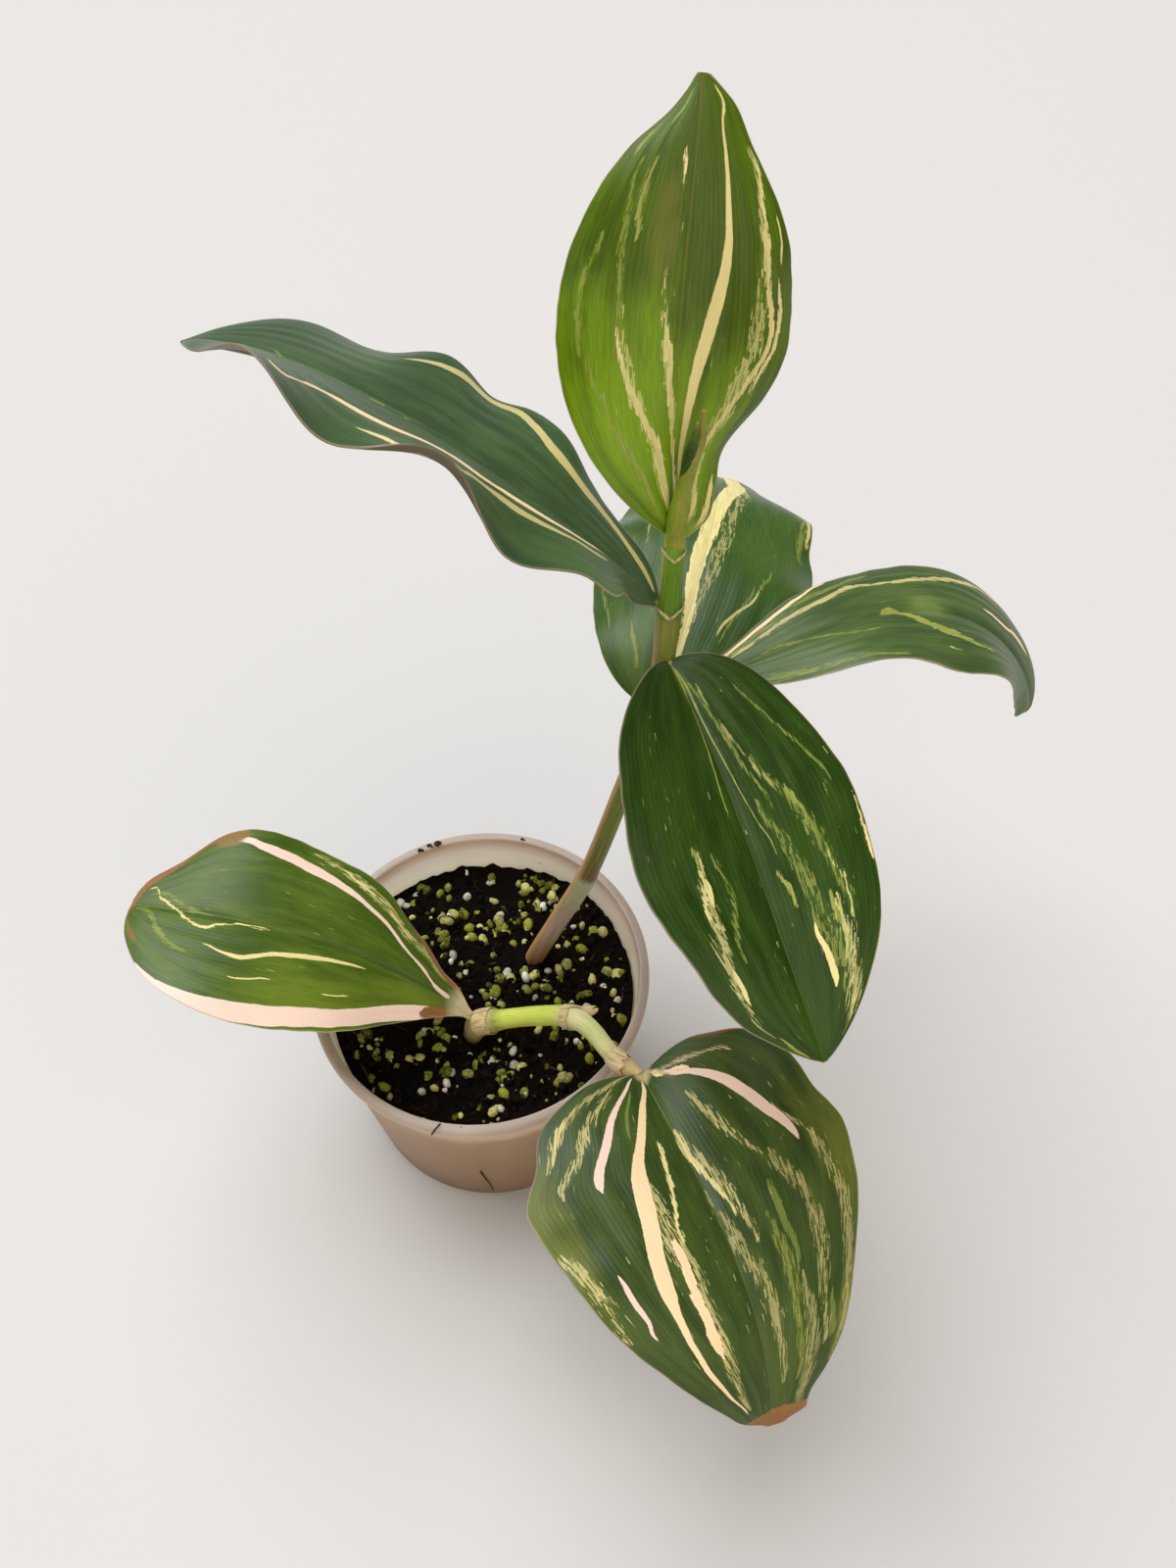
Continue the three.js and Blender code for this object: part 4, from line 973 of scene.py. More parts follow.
def leaf_material(name, leaf, props, seed):
    """Living leaf with a waxy cuticle: deep green blade, cream and pink tissue along the veins.

    Missing green ends at cell walls, so the mottled stripes have blunt, stepped edges. The
    cuticle gives a soft sheen over fine ribs, and light comes through the thin blade.
    """
    material, add, shader = new_material(name + " waxy leaf")
    place = add("UVMap", uv_map=UV_NAME)
    place = add("SeparateXYZ", {0: place})
    part = place.outputs["X"]
    share = add("Math", {0: place.outputs["Y"], 1: 2.0, 2: -1.0}, operation="MULTIPLY_ADD")
    half = add("Attribute", attribute_name=HALF_NAME).outputs["Fac"]
    under = add("Attribute", attribute_name=UNDER_NAME).outputs["Fac"]
    both = add("CombineXYZ", {0: part, 1: part})
    pair = add("CombineXYZ", {0: share, 1: part})
    flow = add("VectorMath", {0: pair, 1: (leaf.width / 2, leaf.length, 0.0)}, operation="MULTIPLY")
    fine = streaks(add, flow, 0.3, 5.0, seed)
    soft = streaks(add, flow, 3.5, 16.0, seed + 20)
    grain = streaks(add, flow, 0.25, 0.5, seed + 40)
    cell, mottle = blade_cells(add, flow, seed)
    dark, mid, light = (linear(code) for code in leaf.tone)

    # Greens: soft lighter areas in the dark blade, broad patches, and fine streaks over both.
    amount = add("MapRange", {"Value": soft, "From Min": 0.36, "From Max": 0.72})
    colour = add("Mix", {"Factor": amount, "A": dark, "B": mid}, data_type="RGBA")
    # On the crown leaf the light patches paint light shining through the blade, and the dark patches paint
    # shade.
    for tint, tone in (("mid", mid), ("light", light), ("dark", dark)):
        chosen = [patch for patch in leaf.patches if patch[0] == tint]
        if not chosen:
            continue
        inside = patch_share(add, leaf, chosen, flow, 1.6)
        inside = add("Math", {0: soft, 1: 0.6, 2: inside}, operation="MULTIPLY_ADD")
        inside = add(
            "MapRange", {"Value": inside, "From Min": 0.25, "From Max": 1.15},
            interpolation_type="SMOOTHSTEP")
        colour = add("Mix", {"Factor": inside, "A": colour, "B": tone}, data_type="RGBA")
    shade = add(
        "MapRange", {"Value": fine, "From Min": 0.25, "From Max": 0.75, "To Min": 0.84, "To Max": 1.16})
    colour = add(
        "Mix", {"Factor": 1.0, "A": colour, "B": shade}, data_type="RGBA", blend_type="MULTIPLY")

    # Veins: a thin, slightly lighter line at each, as far apart as the real ones.
    vein = add(
        "Math", {0: share, 1: 2 * math.pi * leaf.width / 2 / (props.vein_gap / MM)},
        operation="MULTIPLY")
    vein = add("Math", {0: vein}, operation="COSINE")
    line = add("MapRange", {"Value": vein, "From Min": 0.86, "From Max": 1.0, "To Max": 0.5})
    line = add("Math", {0: line, 1: soft}, operation="MULTIPLY")
    colour = add("Mix", {"Factor": line, "A": colour, "B": light}, data_type="RGBA")

    # Stripes, one layer for each tint and kind of edge.
    pale = None
    for tint in ("olive", "lime", "straw", "cream", "peach", "pink", "tan", "rust", "burn"):
        for edge, (streak_reach, cell_reach, start, second) in EDGES.items():
            paths = [s[2:] for s in leaf.stripes if s[0] == tint and s[1] == edge]
            if not paths:
                continue
            spray = edge == "flecked"
            inside = stripe_distance(add, paths, share, half, both, spray)
            if spray:
                haze = add(
                    "MapRange", {"Value": inside, "To Max": 0.35}, interpolation_type="SMOOTHSTEP")
                colour = add("Mix", {"Factor": haze, "A": colour, "B": light}, data_type="RGBA")
                inside = add("Math", {0: inside, 1: 0.0}, operation="MAXIMUM")
                inside = add("Math", {0: inside}, operation="SQRT")
                inside = add("Math", {0: inside, 1: 0.6}, operation="MULTIPLY")
                inside = add("Math", {0: fine, 1: 0.3, 2: inside}, operation="MULTIPLY_ADD")
                inside = add("Math", {0: inside, 1: cell}, operation="SUBTRACT")
                first_value, last_value = 0.1, 0.22
            else:
                inside = add("Math", {0: cell, 1: -cell_reach, 2: inside}, operation="MULTIPLY_ADD")
                inside = add("Math", {0: fine, 1: streak_reach, 2: inside}, operation="MULTIPLY_ADD")
                first_value = streak_reach / 2 - start - 0.06
                last_value = first_value + 0.14
            mask = add(
                "MapRange", {"Value": inside, "From Min": first_value, "From Max": last_value},
                interpolation_type="SMOOTHSTEP")
            if spray:
                paleness = add(
                    "MapRange", {"Value": mottle, "From Min": 0.1, "To Min": 0.5, "To Max": 1.0})
                mask = add("Math", {0: mask, 1: paleness}, operation="MULTIPLY")
            first, other = (linear(code) for code in TINTS[tint])
            amount = add("Math", {0: mottle, 1: fine}, operation="MULTIPLY")
            amount = add(
                "MapRange", {"Value": amount, "From Min": 0.1, "From Max": 0.5, "To Max": second})
            layer = add("Mix", {"Factor": amount, "A": first, "B": other}, data_type="RGBA")
            colour = add("Mix", {"Factor": mask, "A": colour, "B": layer}, data_type="RGBA")
            pale = mask if pale is None else add("Math", {0: pale, 1: mask}, operation="MAXIMUM")

    # Dry and dead tissue, in patches with a torn edge. Tan tissue is only thinly tinted.
    for tint, soft_edge, most in (("tan", 0.7, 0.45), ("rust", 0.3, 0.85), ("burn", 0.12, 1.0)):
        chosen = [patch for patch in leaf.patches if patch[0] == tint]
        if not chosen:
            continue
        inside = patch_share(add, leaf, chosen, flow, 2.2 if tint == "tan" else 1.0)
        inside = add("Math", {0: soft, 1: 0.8, 2: inside}, operation="MULTIPLY_ADD")
        inside = add("Math", {0: cell, 1: 0.25, 2: inside}, operation="MULTIPLY_ADD")
        inside = add(
            "MapRange", {"Value": inside, "From Min": 0.55, "From Max": 0.55 + soft_edge,
             "To Max": most}, interpolation_type="SMOOTHSTEP")
        first, other = (linear(code) for code in TINTS[tint])
        dry = add("Mix", {"Factor": grain, "A": first, "B": other}, data_type="RGBA")
        colour = add("Mix", {"Factor": inside, "A": colour, "B": dry}, data_type="RGBA")

    # Midrib: a fine line. Foot: pale tissue where the blade joins its sheath. Margin: a
    # hair-thin pinkish line that comes and goes.
    across = add("Math", {0: share}, operation="ABSOLUTE")
    from_rib = add("Math", {0: across, 1: half}, operation="MULTIPLY")
    rib_tint, rib_base, rib_tip = leaf.rib
    rib = add("MapRange", {"Value": from_rib, "From Min": 0.4, "From Max": 0.15})
    strength = add("MapRange", {"Value": part, "To Min": rib_base, "To Max": rib_tip})
    rib = add("Math", {0: rib, 1: strength}, operation="MULTIPLY")
    colour = add("Mix", {"Factor": rib, "A": colour, "B": linear(rib_tint)}, data_type="RGBA")
    foot_reach, foot_tint = leaf.foot
    foot = add("Math", {0: part, 1: leaf.length}, operation="MULTIPLY")
    foot = add("CombineXYZ", {0: foot, 1: from_rib})
    foot = add("VectorMath", {0: foot}, operation="LENGTH")
    foot = add("Math", {0: fine, 1: -0.3 * foot_reach, 2: foot}, operation="MULTIPLY_ADD")
    foot = add(
        "MapRange", {"Value": foot, "From Min": 0.9 * foot_reach, "From Max": 0.4 * foot_reach,
         "To Max": 0.9})
    colour = add("Mix", {"Factor": foot, "A": colour, "B": linear(foot_tint)}, data_type="RGBA")
    from_margin = add("Math", {0: half, 1: from_rib}, operation="SUBTRACT")
    margin = add("MapRange", {"Value": from_margin, "From Min": 0.3, "From Max": 0.1, "To Max": 0.8})
    margin = add("Math", {0: margin, 1: soft}, operation="MULTIPLY")
    colour = add("Mix", {"Factor": margin, "A": colour, "B": linear(0xCFB09A)}, data_type="RGBA")

    # The lower face is duller and paler, and shows the same stripes faintly.
    back = add("Mix", {"Factor": 0.72, "A": colour, "B": linear(leaf.under)}, data_type="RGBA")
    colour = add("Mix", {"Factor": under, "A": colour, "B": back}, data_type="RGBA")

    # Cuticle: glossier on green tissue, with the ribs and a fine grain in its surface.
    gloss = add("MapRange", {"Value": soft, "To Min": props.gloss - 0.08, "To Max": props.gloss + 0.1})
    gloss = add("Math", {0: pale, 1: 0.1, 2: gloss}, operation="MULTIPLY_ADD")
    gloss = add("Math", {0: under, 1: 0.15, 2: gloss}, operation="MULTIPLY_ADD")
    relief = add("Math", {0: vein, 1: 0.02}, operation="MULTIPLY")
    relief = add("Math", {0: grain, 1: 0.07, 2: relief}, operation="MULTIPLY_ADD")
    bump = add("Bump", {"Height": relief, "Distance": MM, "Strength": 0.42})
    set_inputs(
        shader, Base_Color=colour, Roughness=gloss, Normal=bump, IOR=1.42, Subsurface_Weight=0.2,
        Subsurface_Radius=(1.0, 1.1, 0.2), Subsurface_Scale=1.0 * MM, Specular_IOR_Level=props.wax)
    return material


def cane_material(name, colours, seed, side):
    """Living cane with a waxy skin: green internodes, reddish foot, silky lengthwise lines."""
    material, add, shader = new_material(name)
    place = add("UVMap", uv_map=UV_NAME)
    parts = add("SeparateXYZ", {0: place})
    spread = add(
        "VectorMath", {0: place, 1: (14.0, 34.0, 1.0), 2: (seed, seed, 0.0)}, operation="MULTIPLY_ADD")
    texture = add("TexNoise", {"Vector": spread, "Scale": 1.0, "Detail": 3.0}, noise_dimensions="2D")
    shift = add("Math", {0: texture, 1: 0.02, 2: parts.outputs["X"]}, operation="MULTIPLY_ADD")
    shift = add("Math", {0: shift, 1: 0.01}, operation="SUBTRACT")
    ramp = add("ValToRGB", {0: shift})
    set_stops(ramp, *((part, linear(code)) for part, code in colours))

    # One side is tinted, most along its middle. On the tall cane this lighter tan is partly a
    # painted highlight along its lit side.
    side_tint_and_highlight, side_turn, side_strength, side_end = side
    turned = add(
        "Math", {0: parts.outputs["Y"], 1: 2 * math.pi, 2: -2 * math.pi * side_turn},
        operation="MULTIPLY_ADD")
    turned = add("Math", {0: turned}, operation="COSINE")
    turned = add(
        "MapRange", {"Value": turned, "From Min": 0.3, "From Max": 1.0, "To Max": side_strength},
        interpolation_type="SMOOTHSTEP")
    fade = add(
        "MapRange", {"Value": parts.outputs["X"], "From Min": side_end, "From Max": side_end + 0.03,
         "To Min": 1.0, "To Max": 0.3})
    turned = add("Math", {0: turned, 1: fade}, operation="MULTIPLY")
    colour = add("Mix", {"Factor": turned, "A": ramp, "B": linear(side_tint_and_highlight)}, data_type="RGBA")
    for first, last, most, tint in ((0.52, 0.74, 0.22, 0xC4BA74), (0.48, 0.3, 0.25, 0x4E5A1C)):
        lines = add("MapRange", {"Value": texture, "From Min": first, "From Max": last, "To Max": most})
        colour = add("Mix", {"Factor": lines, "A": colour, "B": linear(tint)}, data_type="RGBA")
    bump = add("Bump", {"Height": texture, "Distance": 0.12 * MM, "Strength": 0.6})
    set_inputs(
        shader, Base_Color=colour, Normal=bump, Roughness=0.42, Subsurface_Weight=0.5,
        Subsurface_Radius=(1.0, 1.1, 0.3), Subsurface_Scale=2.5 * MM, Specular_IOR_Level=0.3)
    return material


def sheath_material(props):
    """Dry leaf sheath, papery and thin: straw skin with fine tan fibres and a few brown spots."""
    material, add, shader = new_material("papery dry sheath")
    place = add("UVMap", uv_map=UV_NAME)
    spread = add("VectorMath", {0: place, 1: (2.0, 38.0, 1.0)}, operation="MULTIPLY")
    fibre = add("TexNoise", {"Vector": spread, "Scale": 1.0, "Detail": 4.0}, noise_dimensions="2D")
    ramp = add("ValToRGB", {0: fibre})
    set_stops(ramp, (0.34, linear(0xB08E58)), (0.56, props.sheath))
    spot = add(
        "TexNoise", {"Vector": add("TexCoord").outputs["Object"], "Scale": 1 / (1.6 * MM),
         "Detail": 2.0})
    spot = add("MapRange", {"Value": spot, "From Min": 0.6, "From Max": 0.72, "To Max": 0.6})
    colour = add("Mix", {"Factor": spot, "A": ramp, "B": linear(0x8E6A3C)}, data_type="RGBA")
    bump = add("Bump", {"Height": fibre, "Distance": 0.15 * MM, "Strength": 0.7})
    set_inputs(
        shader, Base_Color=colour, Normal=bump, Roughness=0.6, Subsurface_Weight=0.3,
        Subsurface_Radius=(1.0, 0.9, 0.7), Subsurface_Scale=1.0 * MM, Specular_IOR_Level=0.3)
    return material


def pot_material(props):
    """Frosted polypropylene, injection moulded: milky, slightly grey, with dark soil behind it.

    Below the soil line the outer face is a smooth warm grey-brown, above it a warm beige that
    turns grey at the lip. Their warm cast is partly painted warm light bounced from wood below.
    The inner face is a much brighter peach, a painted glow of the light that comes through the
    frosted wall.
    """
    material, add, shader = new_material("frosted polypropylene")
    place = add("TexCoord").outputs["Object"]
    height = add("SeparateXYZ", {0: place}).outputs["Z"]
    lumps = add("TexNoise", {"Vector": place, "Scale": 1 / (14 * MM), "Detail": 2.0})
    reach = add("Math", {0: lumps, 1: 4 * MM, 2: height}, operation="MULTIPLY_ADD")
    ramp = add("MapRange", {"Value": reach, "From Max": props.height + 2 * MM})
    walls = []
    # Outer face, then inner face. The warm browns are partly painted warm light bounced from wood below,
    # and the inner face's bright peach paints light shining through the wall.
    for tones in (
        ((0.0, 0x826046), (0.3, 0x9A7654), (0.72, 0xAE8660), (0.84, 0xBA9674), (0.94, 0xB69E8A)),
        ((0.0, 0x9E8468), (0.77, 0xF8C8A0), (0.84, 0xFFD8B4), (0.92, 0xF2D0B8)),
    ):
        wall = add("ValToRGB", {0: ramp})
        set_stops(wall, *((part, linear(code)) for part, code in tones), (1.0, props.colour))
        walls.append(wall)
    radius = add("VectorMath", {0: place, 1: (1.0, 1.0, 0.0)}, operation="MULTIPLY")
    radius = add("VectorMath", {0: radius}, operation="LENGTH")
    slope = (props.rim_radius - props.lip - props.base_radius) / props.height
    inward = add(
        "Math", {0: height, 1: slope, 2: props.base_radius - props.wall / 2}, operation="MULTIPLY_ADD")
    inward = add("Math", {0: inward, 1: radius}, operation="GREATER_THAN")
    ramp = add("Mix", {"Factor": inward, "A": walls[0], "B": walls[1]}, data_type="RGBA")
    blotch = add(
        "MapRange", {"Value": lumps, "From Min": 0.3, "From Max": 0.7, "To Min": 0.93, "To Max": 1.07})
    colour = add(
        "Mix", {"Factor": 1.0, "A": ramp, "B": blotch}, data_type="RGBA", blend_type="MULTIPLY")
    specks = add("TexNoise", {"Vector": place, "Scale": 1 / (2.2 * MM), "Detail": 2.0})
    specks = add("MapRange", {"Value": specks, "From Min": 0.74, "From Max": 0.78, "To Max": 0.6})
    colour = add("Mix", {"Factor": specks, "A": colour, "B": linear(0x4A3B33)}, data_type="RGBA")
    haze = add("TexNoise", {"Vector": place, "Scale": 1 / (1.2 * MM), "Detail": 3.0})
    bump = add("Bump", {"Height": haze, "Distance": 0.06 * MM, "Strength": 0.3})
    set_inputs(
        shader, Base_Color=colour, Normal=bump, Roughness=0.42, IOR=1.49, Subsurface_Weight=0.95,
        Subsurface_Radius=(1.0, 0.96, 0.9), Subsurface_Scale=8 * MM, Specular_IOR_Level=0.35)
    return material


def soil_material(name, dark, light, grain_mm, bump_mm, roughness):
    """Damp mineral or peat grains: two close tones in small blotches, with a rough skin.

    Each grain leans towards one tone or the other.
    """
    material, add, shader = new_material(name)
    place = add("TexCoord").outputs["Object"]
    blotch = add(
        "TexNoise", {"Vector": place, "Scale": 1 / (grain_mm * MM), "Detail": 4.0, "Roughness": 0.65})
    lean = add("NewGeometry").outputs["Random Per Island"]
    mixed = add("Math", {0: lean, 1: 0.45, 2: blotch}, operation="MULTIPLY_ADD")
    ramp = add("ValToRGB", {0: mixed})
    set_stops(ramp, (0.42, linear(dark)), (0.98, linear(light)))
    bump = add("Bump", {"Height": blotch, "Distance": bump_mm * MM, "Strength": 0.9})
    set_inputs(shader, Base_Color=ramp, Normal=bump, Roughness=roughness, Specular_IOR_Level=0.08)
    return material


def floor_material(props):
    """Matte painted board, plain and pale, with a barely visible tooth."""
    material, add, shader = new_material("matte painted board")
    place = add("TexCoord").outputs["Object"]
    tooth = add("TexNoise", {"Vector": place, "Scale": 400.0, "Detail": 2.0})
    bump = add("Bump", {"Height": tooth, "Distance": 0.1 * MM, "Strength": 0.1})
    set_inputs(shader, Base_Color=props.floor, Normal=bump, Roughness=0.7)
    return material


def pot_radius(props, height):
    """Outer radius of the pot's wall at a height, in metres."""
    top = props.rim_radius - props.lip
    return props.base_radius + (top - props.base_radius) * height / props.height


def soil_height(x, y, props):
    """Height in mm of the soil's low swells at a place in mm."""
    swell = math.sin(x / 7 + 1) * math.cos(y / 9) + 0.6 * math.sin((x + 2 * y) / 11)
    return (props.level + props.swell * swell) / MM


def lathe(name, profile, sides):
    """Closed solid of revolution: the profile, in metres, starts and ends on the axis."""
    ring = profile[1:-1]
    vertices = [(0, 0, profile[0][1])]
    for side in range(sides):
        turn = 2 * math.pi * side / sides
        vertices += [(r * math.cos(turn), r * math.sin(turn), z) for r, z in ring]
    vertices.append((0, 0, profile[-1][1]))
    last = len(vertices) - 1
    count = len(ring)
    faces = []
    for side in range(sides):
        here, there = 1 + side * count, 1 + (side + 1) % sides * count
        faces.append((0, there, here))
        faces.append((last, here + count - 1, there + count - 1))
        faces += [(here + k, there + k, there + k + 1, here + k + 1) for k in range(count - 1)]
    obj = make_object(name, vertices, faces)
    face_outwards(obj)
    return obj


def rounded(corner, before, after, radius, steps=4):
    """Points of a quadratic curve that rounds a corner off."""
    corner, before, after = Vector(corner), Vector(before), Vector(after)
    start = corner + (before - corner).normalized() * radius
    end = corner + (after - corner).normalized() * radius
    places = [k / steps for k in range(steps + 1)]
    return [tuple(start * (1 - t) ** 2 + corner * 2 * t * (1 - t) + end * t * t) for t in places]


class GINGER_OT_pot(bpy.types.Operator):
    """Makes the thin tapered pot with its rounded lip and drain holes"""
    bl_idname = "ginger.pot"
    bl_label = "Frosted pot"

    def execute(self, context):
        props = context.scene.ginger_pot
        lip_bottom = props.height - props.lip_depth
        pot_sides, hole_sides, sharp_angle = 160, 32, 40

        def inner(height):
            return pot_radius(props, height) - props.wall

        outline = [
            (0, 0), (props.base_radius, 0), (pot_radius(props, lip_bottom), lip_bottom),
            (props.rim_radius, lip_bottom + 0.3 * MM), (props.rim_radius, props.height),
            (inner(props.height), props.height), (inner(props.floor), props.floor), (0, props.floor),
        ]
        roundings = [0, 1.5 * MM, 0.4 * MM, 0.6 * MM, 1.3 * MM, 0.5 * MM, 1.5 * MM, 0]
        profile = []
        for k, radius in enumerate(roundings):
            if radius:
                profile += rounded(outline[k], outline[k - 1], outline[k + 1], radius)
            else:
                profile.append(outline[k])
        pot = lathe("frosted_pot", profile, pot_sides)
        cutters = []
        for hole in range(props.drain_holes):
            turn = 2 * math.pi * (hole + 0.5) / props.drain_holes
            wide, low, high = props.drain_radius, -2 * MM, 4 * MM
            cutter = lathe("drain_cutter", [(0, low), (wide, low), (wide, high), (0, high)], hole_sides)
            cutter.data.transform(Matrix.Translation(
                (props.drain_circle * math.cos(turn), props.drain_circle * math.sin(turn), 0)))
            cutters.append(cutter)
            cut = pot.modifiers.new("drain", "BOOLEAN")
            cut.operation = "DIFFERENCE"
            cut.solver = "EXACT"
            cut.object = cutter
        applied(pot)
        for cutter in cutters:
            bpy.data.objects.remove(cutter)
        pot.data.set_sharp_from_angle(angle=math.radians(sharp_angle))
        finish_piece(pot, pot_material(props), "pot_plastic", "pot")
        return {"FINISHED"}


def scatter_tree():
    """Geometry nodes that strew rough grains over a surface where its attribute room allows."""
    tree = bpy.data.node_groups.new("strewn grains", "GeometryNodeTree")
    add = partial(add_node, tree)
    sockets = (
        ("Density", "NodeSocketFloat", 1000.0), ("Smallest", "NodeSocketFloat", 1 * MM),
        ("Largest", "NodeSocketFloat", 2 * MM), ("Faces", "NodeSocketInt", 1),
        ("Sunk", "NodeSocketFloat", 0.0), ("Stretch", "NodeSocketFloat", 1.0),
        ("Seed", "NodeSocketInt", 0), ("Finish", "NodeSocketMaterial", None),
    )
    face = tree.interface
    face.new_socket("Geometry", in_out="INPUT", socket_type="NodeSocketGeometry")
    face.new_socket("Geometry", in_out="OUTPUT", socket_type="NodeSocketGeometry")
    for name, kind, value in sockets:
        socket = face.new_socket(name, in_out="INPUT", socket_type=kind)
        if value is not None:
            socket.default_value = value
    source = add("NodeGroupInput").outputs
    room = add("GeometryNodeInputNamedAttribute", {"Name": "room"}, data_type="FLOAT")
    density = add("Math", {0: source["Density"], 1: room}, operation="MULTIPLY")
    points = add(
        "GeometryNodeDistributePointsOnFaces", {"Mesh": source["Geometry"], "Density": density,
         "Seed": source["Seed"]})
    grain = add("GeometryNodeMeshIcoSphere", {"Radius": 1.0, "Subdivisions": source["Faces"]})
    turn = add(
        "FunctionNodeRandomValue", {"Max": (6.28, 6.28, 6.28), "Seed": source["Seed"]},
        data_type="FLOAT_VECTOR")
    size = add(
        "FunctionNodeRandomValue", {2: source["Smallest"], 3: source["Largest"],
         "Seed": source["Seed"]}, data_type="FLOAT")
    long = add("Math", {0: size, 1: source["Stretch"]}, operation="MULTIPLY")
    flat = add("Math", {0: size, 1: 0.78}, operation="MULTIPLY")
    scale = add("CombineXYZ", {0: long, 1: size, 2: flat})
    placed = add(
        "GeometryNodeInstanceOnPoints", {"Points": points, "Instance": grain, "Rotation": turn,
         "Scale": scale})
    real = add("GeometryNodeRealizeInstances", {0: placed})
    place = add("GeometryNodeInputPosition")
    rough = add("TexNoise", {"Vector": place, "Scale": 1 / (1.6 * MM), "Detail": 1.0})
    rough = add("VectorMath", {0: rough.outputs["Color"], 1: (0.5, 0.5, 0.5)}, operation="SUBTRACT")
    reach = add("Math", {0: source["Smallest"], 1: 1.5}, operation="MULTIPLY")
    rough = add("VectorMath", {0: rough, "Scale": reach}, operation="SCALE")
    down = add("CombineXYZ", {2: source["Sunk"]})
    rough = add("VectorMath", {0: rough, 1: down}, operation="SUBTRACT")
    moved = add("GeometryNodeSetPosition", {"Geometry": real, "Offset": rough})
    finish = add("GeometryNodeSetMaterial", {"Geometry": moved, "Material": source["Finish"]})
    add("NodeGroupOutput", {0: finish})
    return tree


def strew(name, surface, tree, smooth, **values):
    """Strews one kind of grain over a surface and keeps the grains as a plain mesh."""
    carrier = bpy.data.objects.new(name, surface.data.copy())
    bpy.context.scene.collection.objects.link(carrier)
    modifier = carrier.modifiers.new("strew", "NODES")
    modifier.node_group = tree
    keys = {s.name: s.identifier for s in tree.interface.items_tree if s.in_out == "INPUT"}
    for key, value in values.items():
        modifier[keys[key]] = value
    applied(carrier)
    if not len(carrier.data.polygons):
        raise RuntimeError(f"{name} has no grains")
    carrier.data.polygons.foreach_set("use_smooth", [smooth] * len(carrier.data.polygons))
    return carrier


class GINGER_OT_soil(bpy.types.Operator):
    """Fills the pot with damp peat, mineral granules, crumbs and bits of fibre"""
    bl_idname = "ginger.soil"
    bl_label = "Potting mix"

    def execute(self, context):
        props, pot = context.scene.ginger_soil, context.scene.ginger_pot
        gap = 0.3 * MM
        sides, rings = 200, 70
        bottom = (pot.floor + gap) / MM

        def wall(height):
            return (pot_radius(pot, height * MM) - pot.wall - gap) / MM

        reach = wall(props.level / MM - 2)
        vertices = [(0, 0, bottom)]
        levels = [bottom, (bottom + props.level / MM) / 2, props.level / MM - 3]
        turns = [2 * math.pi * s / sides for s in range(sides)]
        for z in levels:
            vertices += [(wall(z) * math.cos(turn), wall(z) * math.sin(turn), z) for turn in turns]
        for ring in range(rings, 0, -1):
            radius = reach * ring / rings
            for turn in turns:
                x, y = radius * math.cos(turn), radius * math.sin(turn)
                place = Vector((x, y, 0))
                lumps = noise.fractal(place / 3.2, 0.9, 2.0, 4)
                pits = abs(noise.noise(place / 1.5 + Vector((9, 4, 2))))
                z = soil_height(x, y, props) + props.crumble / MM * (0.9 * lumps - 0.9 * pits)
                vertices.append((x, y, z))
        vertices.append((0, 0, soil_height(0, 0, props)))
        faces = skin_faces(len(levels) + rings, sides, 1, 0, len(vertices) - 1)
        bed = make_object("peat_bed", [Vector(v) * MM for v in vertices], faces)
        face_outwards(bed)

        # Grains stay clear of the canes and of the wall, and crowd together in places.
        cane_room, wall_room, cane_foot, crowd_size = 4.2, 1.7, 62, 8
        canes = np.vstack([smooth_line(line, 80) for line in (TALL_LINE, SHORT_LINE)])
        canes = canes[canes[:, 2] < cane_foot]
        surface = make_object(
            "strewn_surface", [Vector(v) * MM for v in vertices],
            [f for f in faces if min(f) > len(levels) * sides])
        room = []
        for v in vertices:
            clear = np.linalg.norm(canes[:, :2] - np.array(v[:2]), axis=1).min()
            crowd = noise.noise(Vector(v) / crowd_size + Vector((3, 1, 8)))
            crowd = 1.6 * max(0, 0.5 + crowd) ** 1.6
            free = clear > cane_room and math.hypot(v[0], v[1]) < reach - wall_room
            room.append(0.15 + crowd if free else 0.0)
        add_values(surface, "room", room)
        tree = scatter_tree()
        area = math.pi * (reach * MM) ** 2
        for index, kind in enumerate(GRAINS):
            number = props.granules * kind.granules + props.crumbs * kind.crumbs
            finish = soil_material(
                kind.finish, kind.dark, kind.light, kind.blotch, 0.4, kind.roughness)
            piece = strew(
                kind.piece, surface, tree, kind.granules > 0, Density=number / area,
                Smallest=kind.smallest * MM, Largest=kind.largest * MM, Faces=kind.faces,
                Sunk=0.25 * kind.smallest * MM, Stretch=kind.stretch, Seed=props.seed + index,
                Finish=finish)
            finish_piece(piece, None, "potting_mix")
        bpy.data.objects.remove(surface)
        peat = soil_material("damp peat", 0x030201, 0x130D08, 2.0, 0.8, 1.0)
        finish_piece(bed, peat, "potting_mix", "soil")
        return {"FINISHED"}


def joined(name, *shapes):
    """One object from several sets of points, faces and UVs."""
    vertices, faces, uvs = [], [], []
    for points, polygons, places in shapes:
        start = len(vertices)
        vertices += [tuple(p) for p in points]
        faces += [tuple(index + start for index in polygon) for polygon in polygons]
        uvs += [tuple(place) for place in places]
    obj = make_object(name, vertices, faces, uvs)
    face_outwards(obj)
    return obj


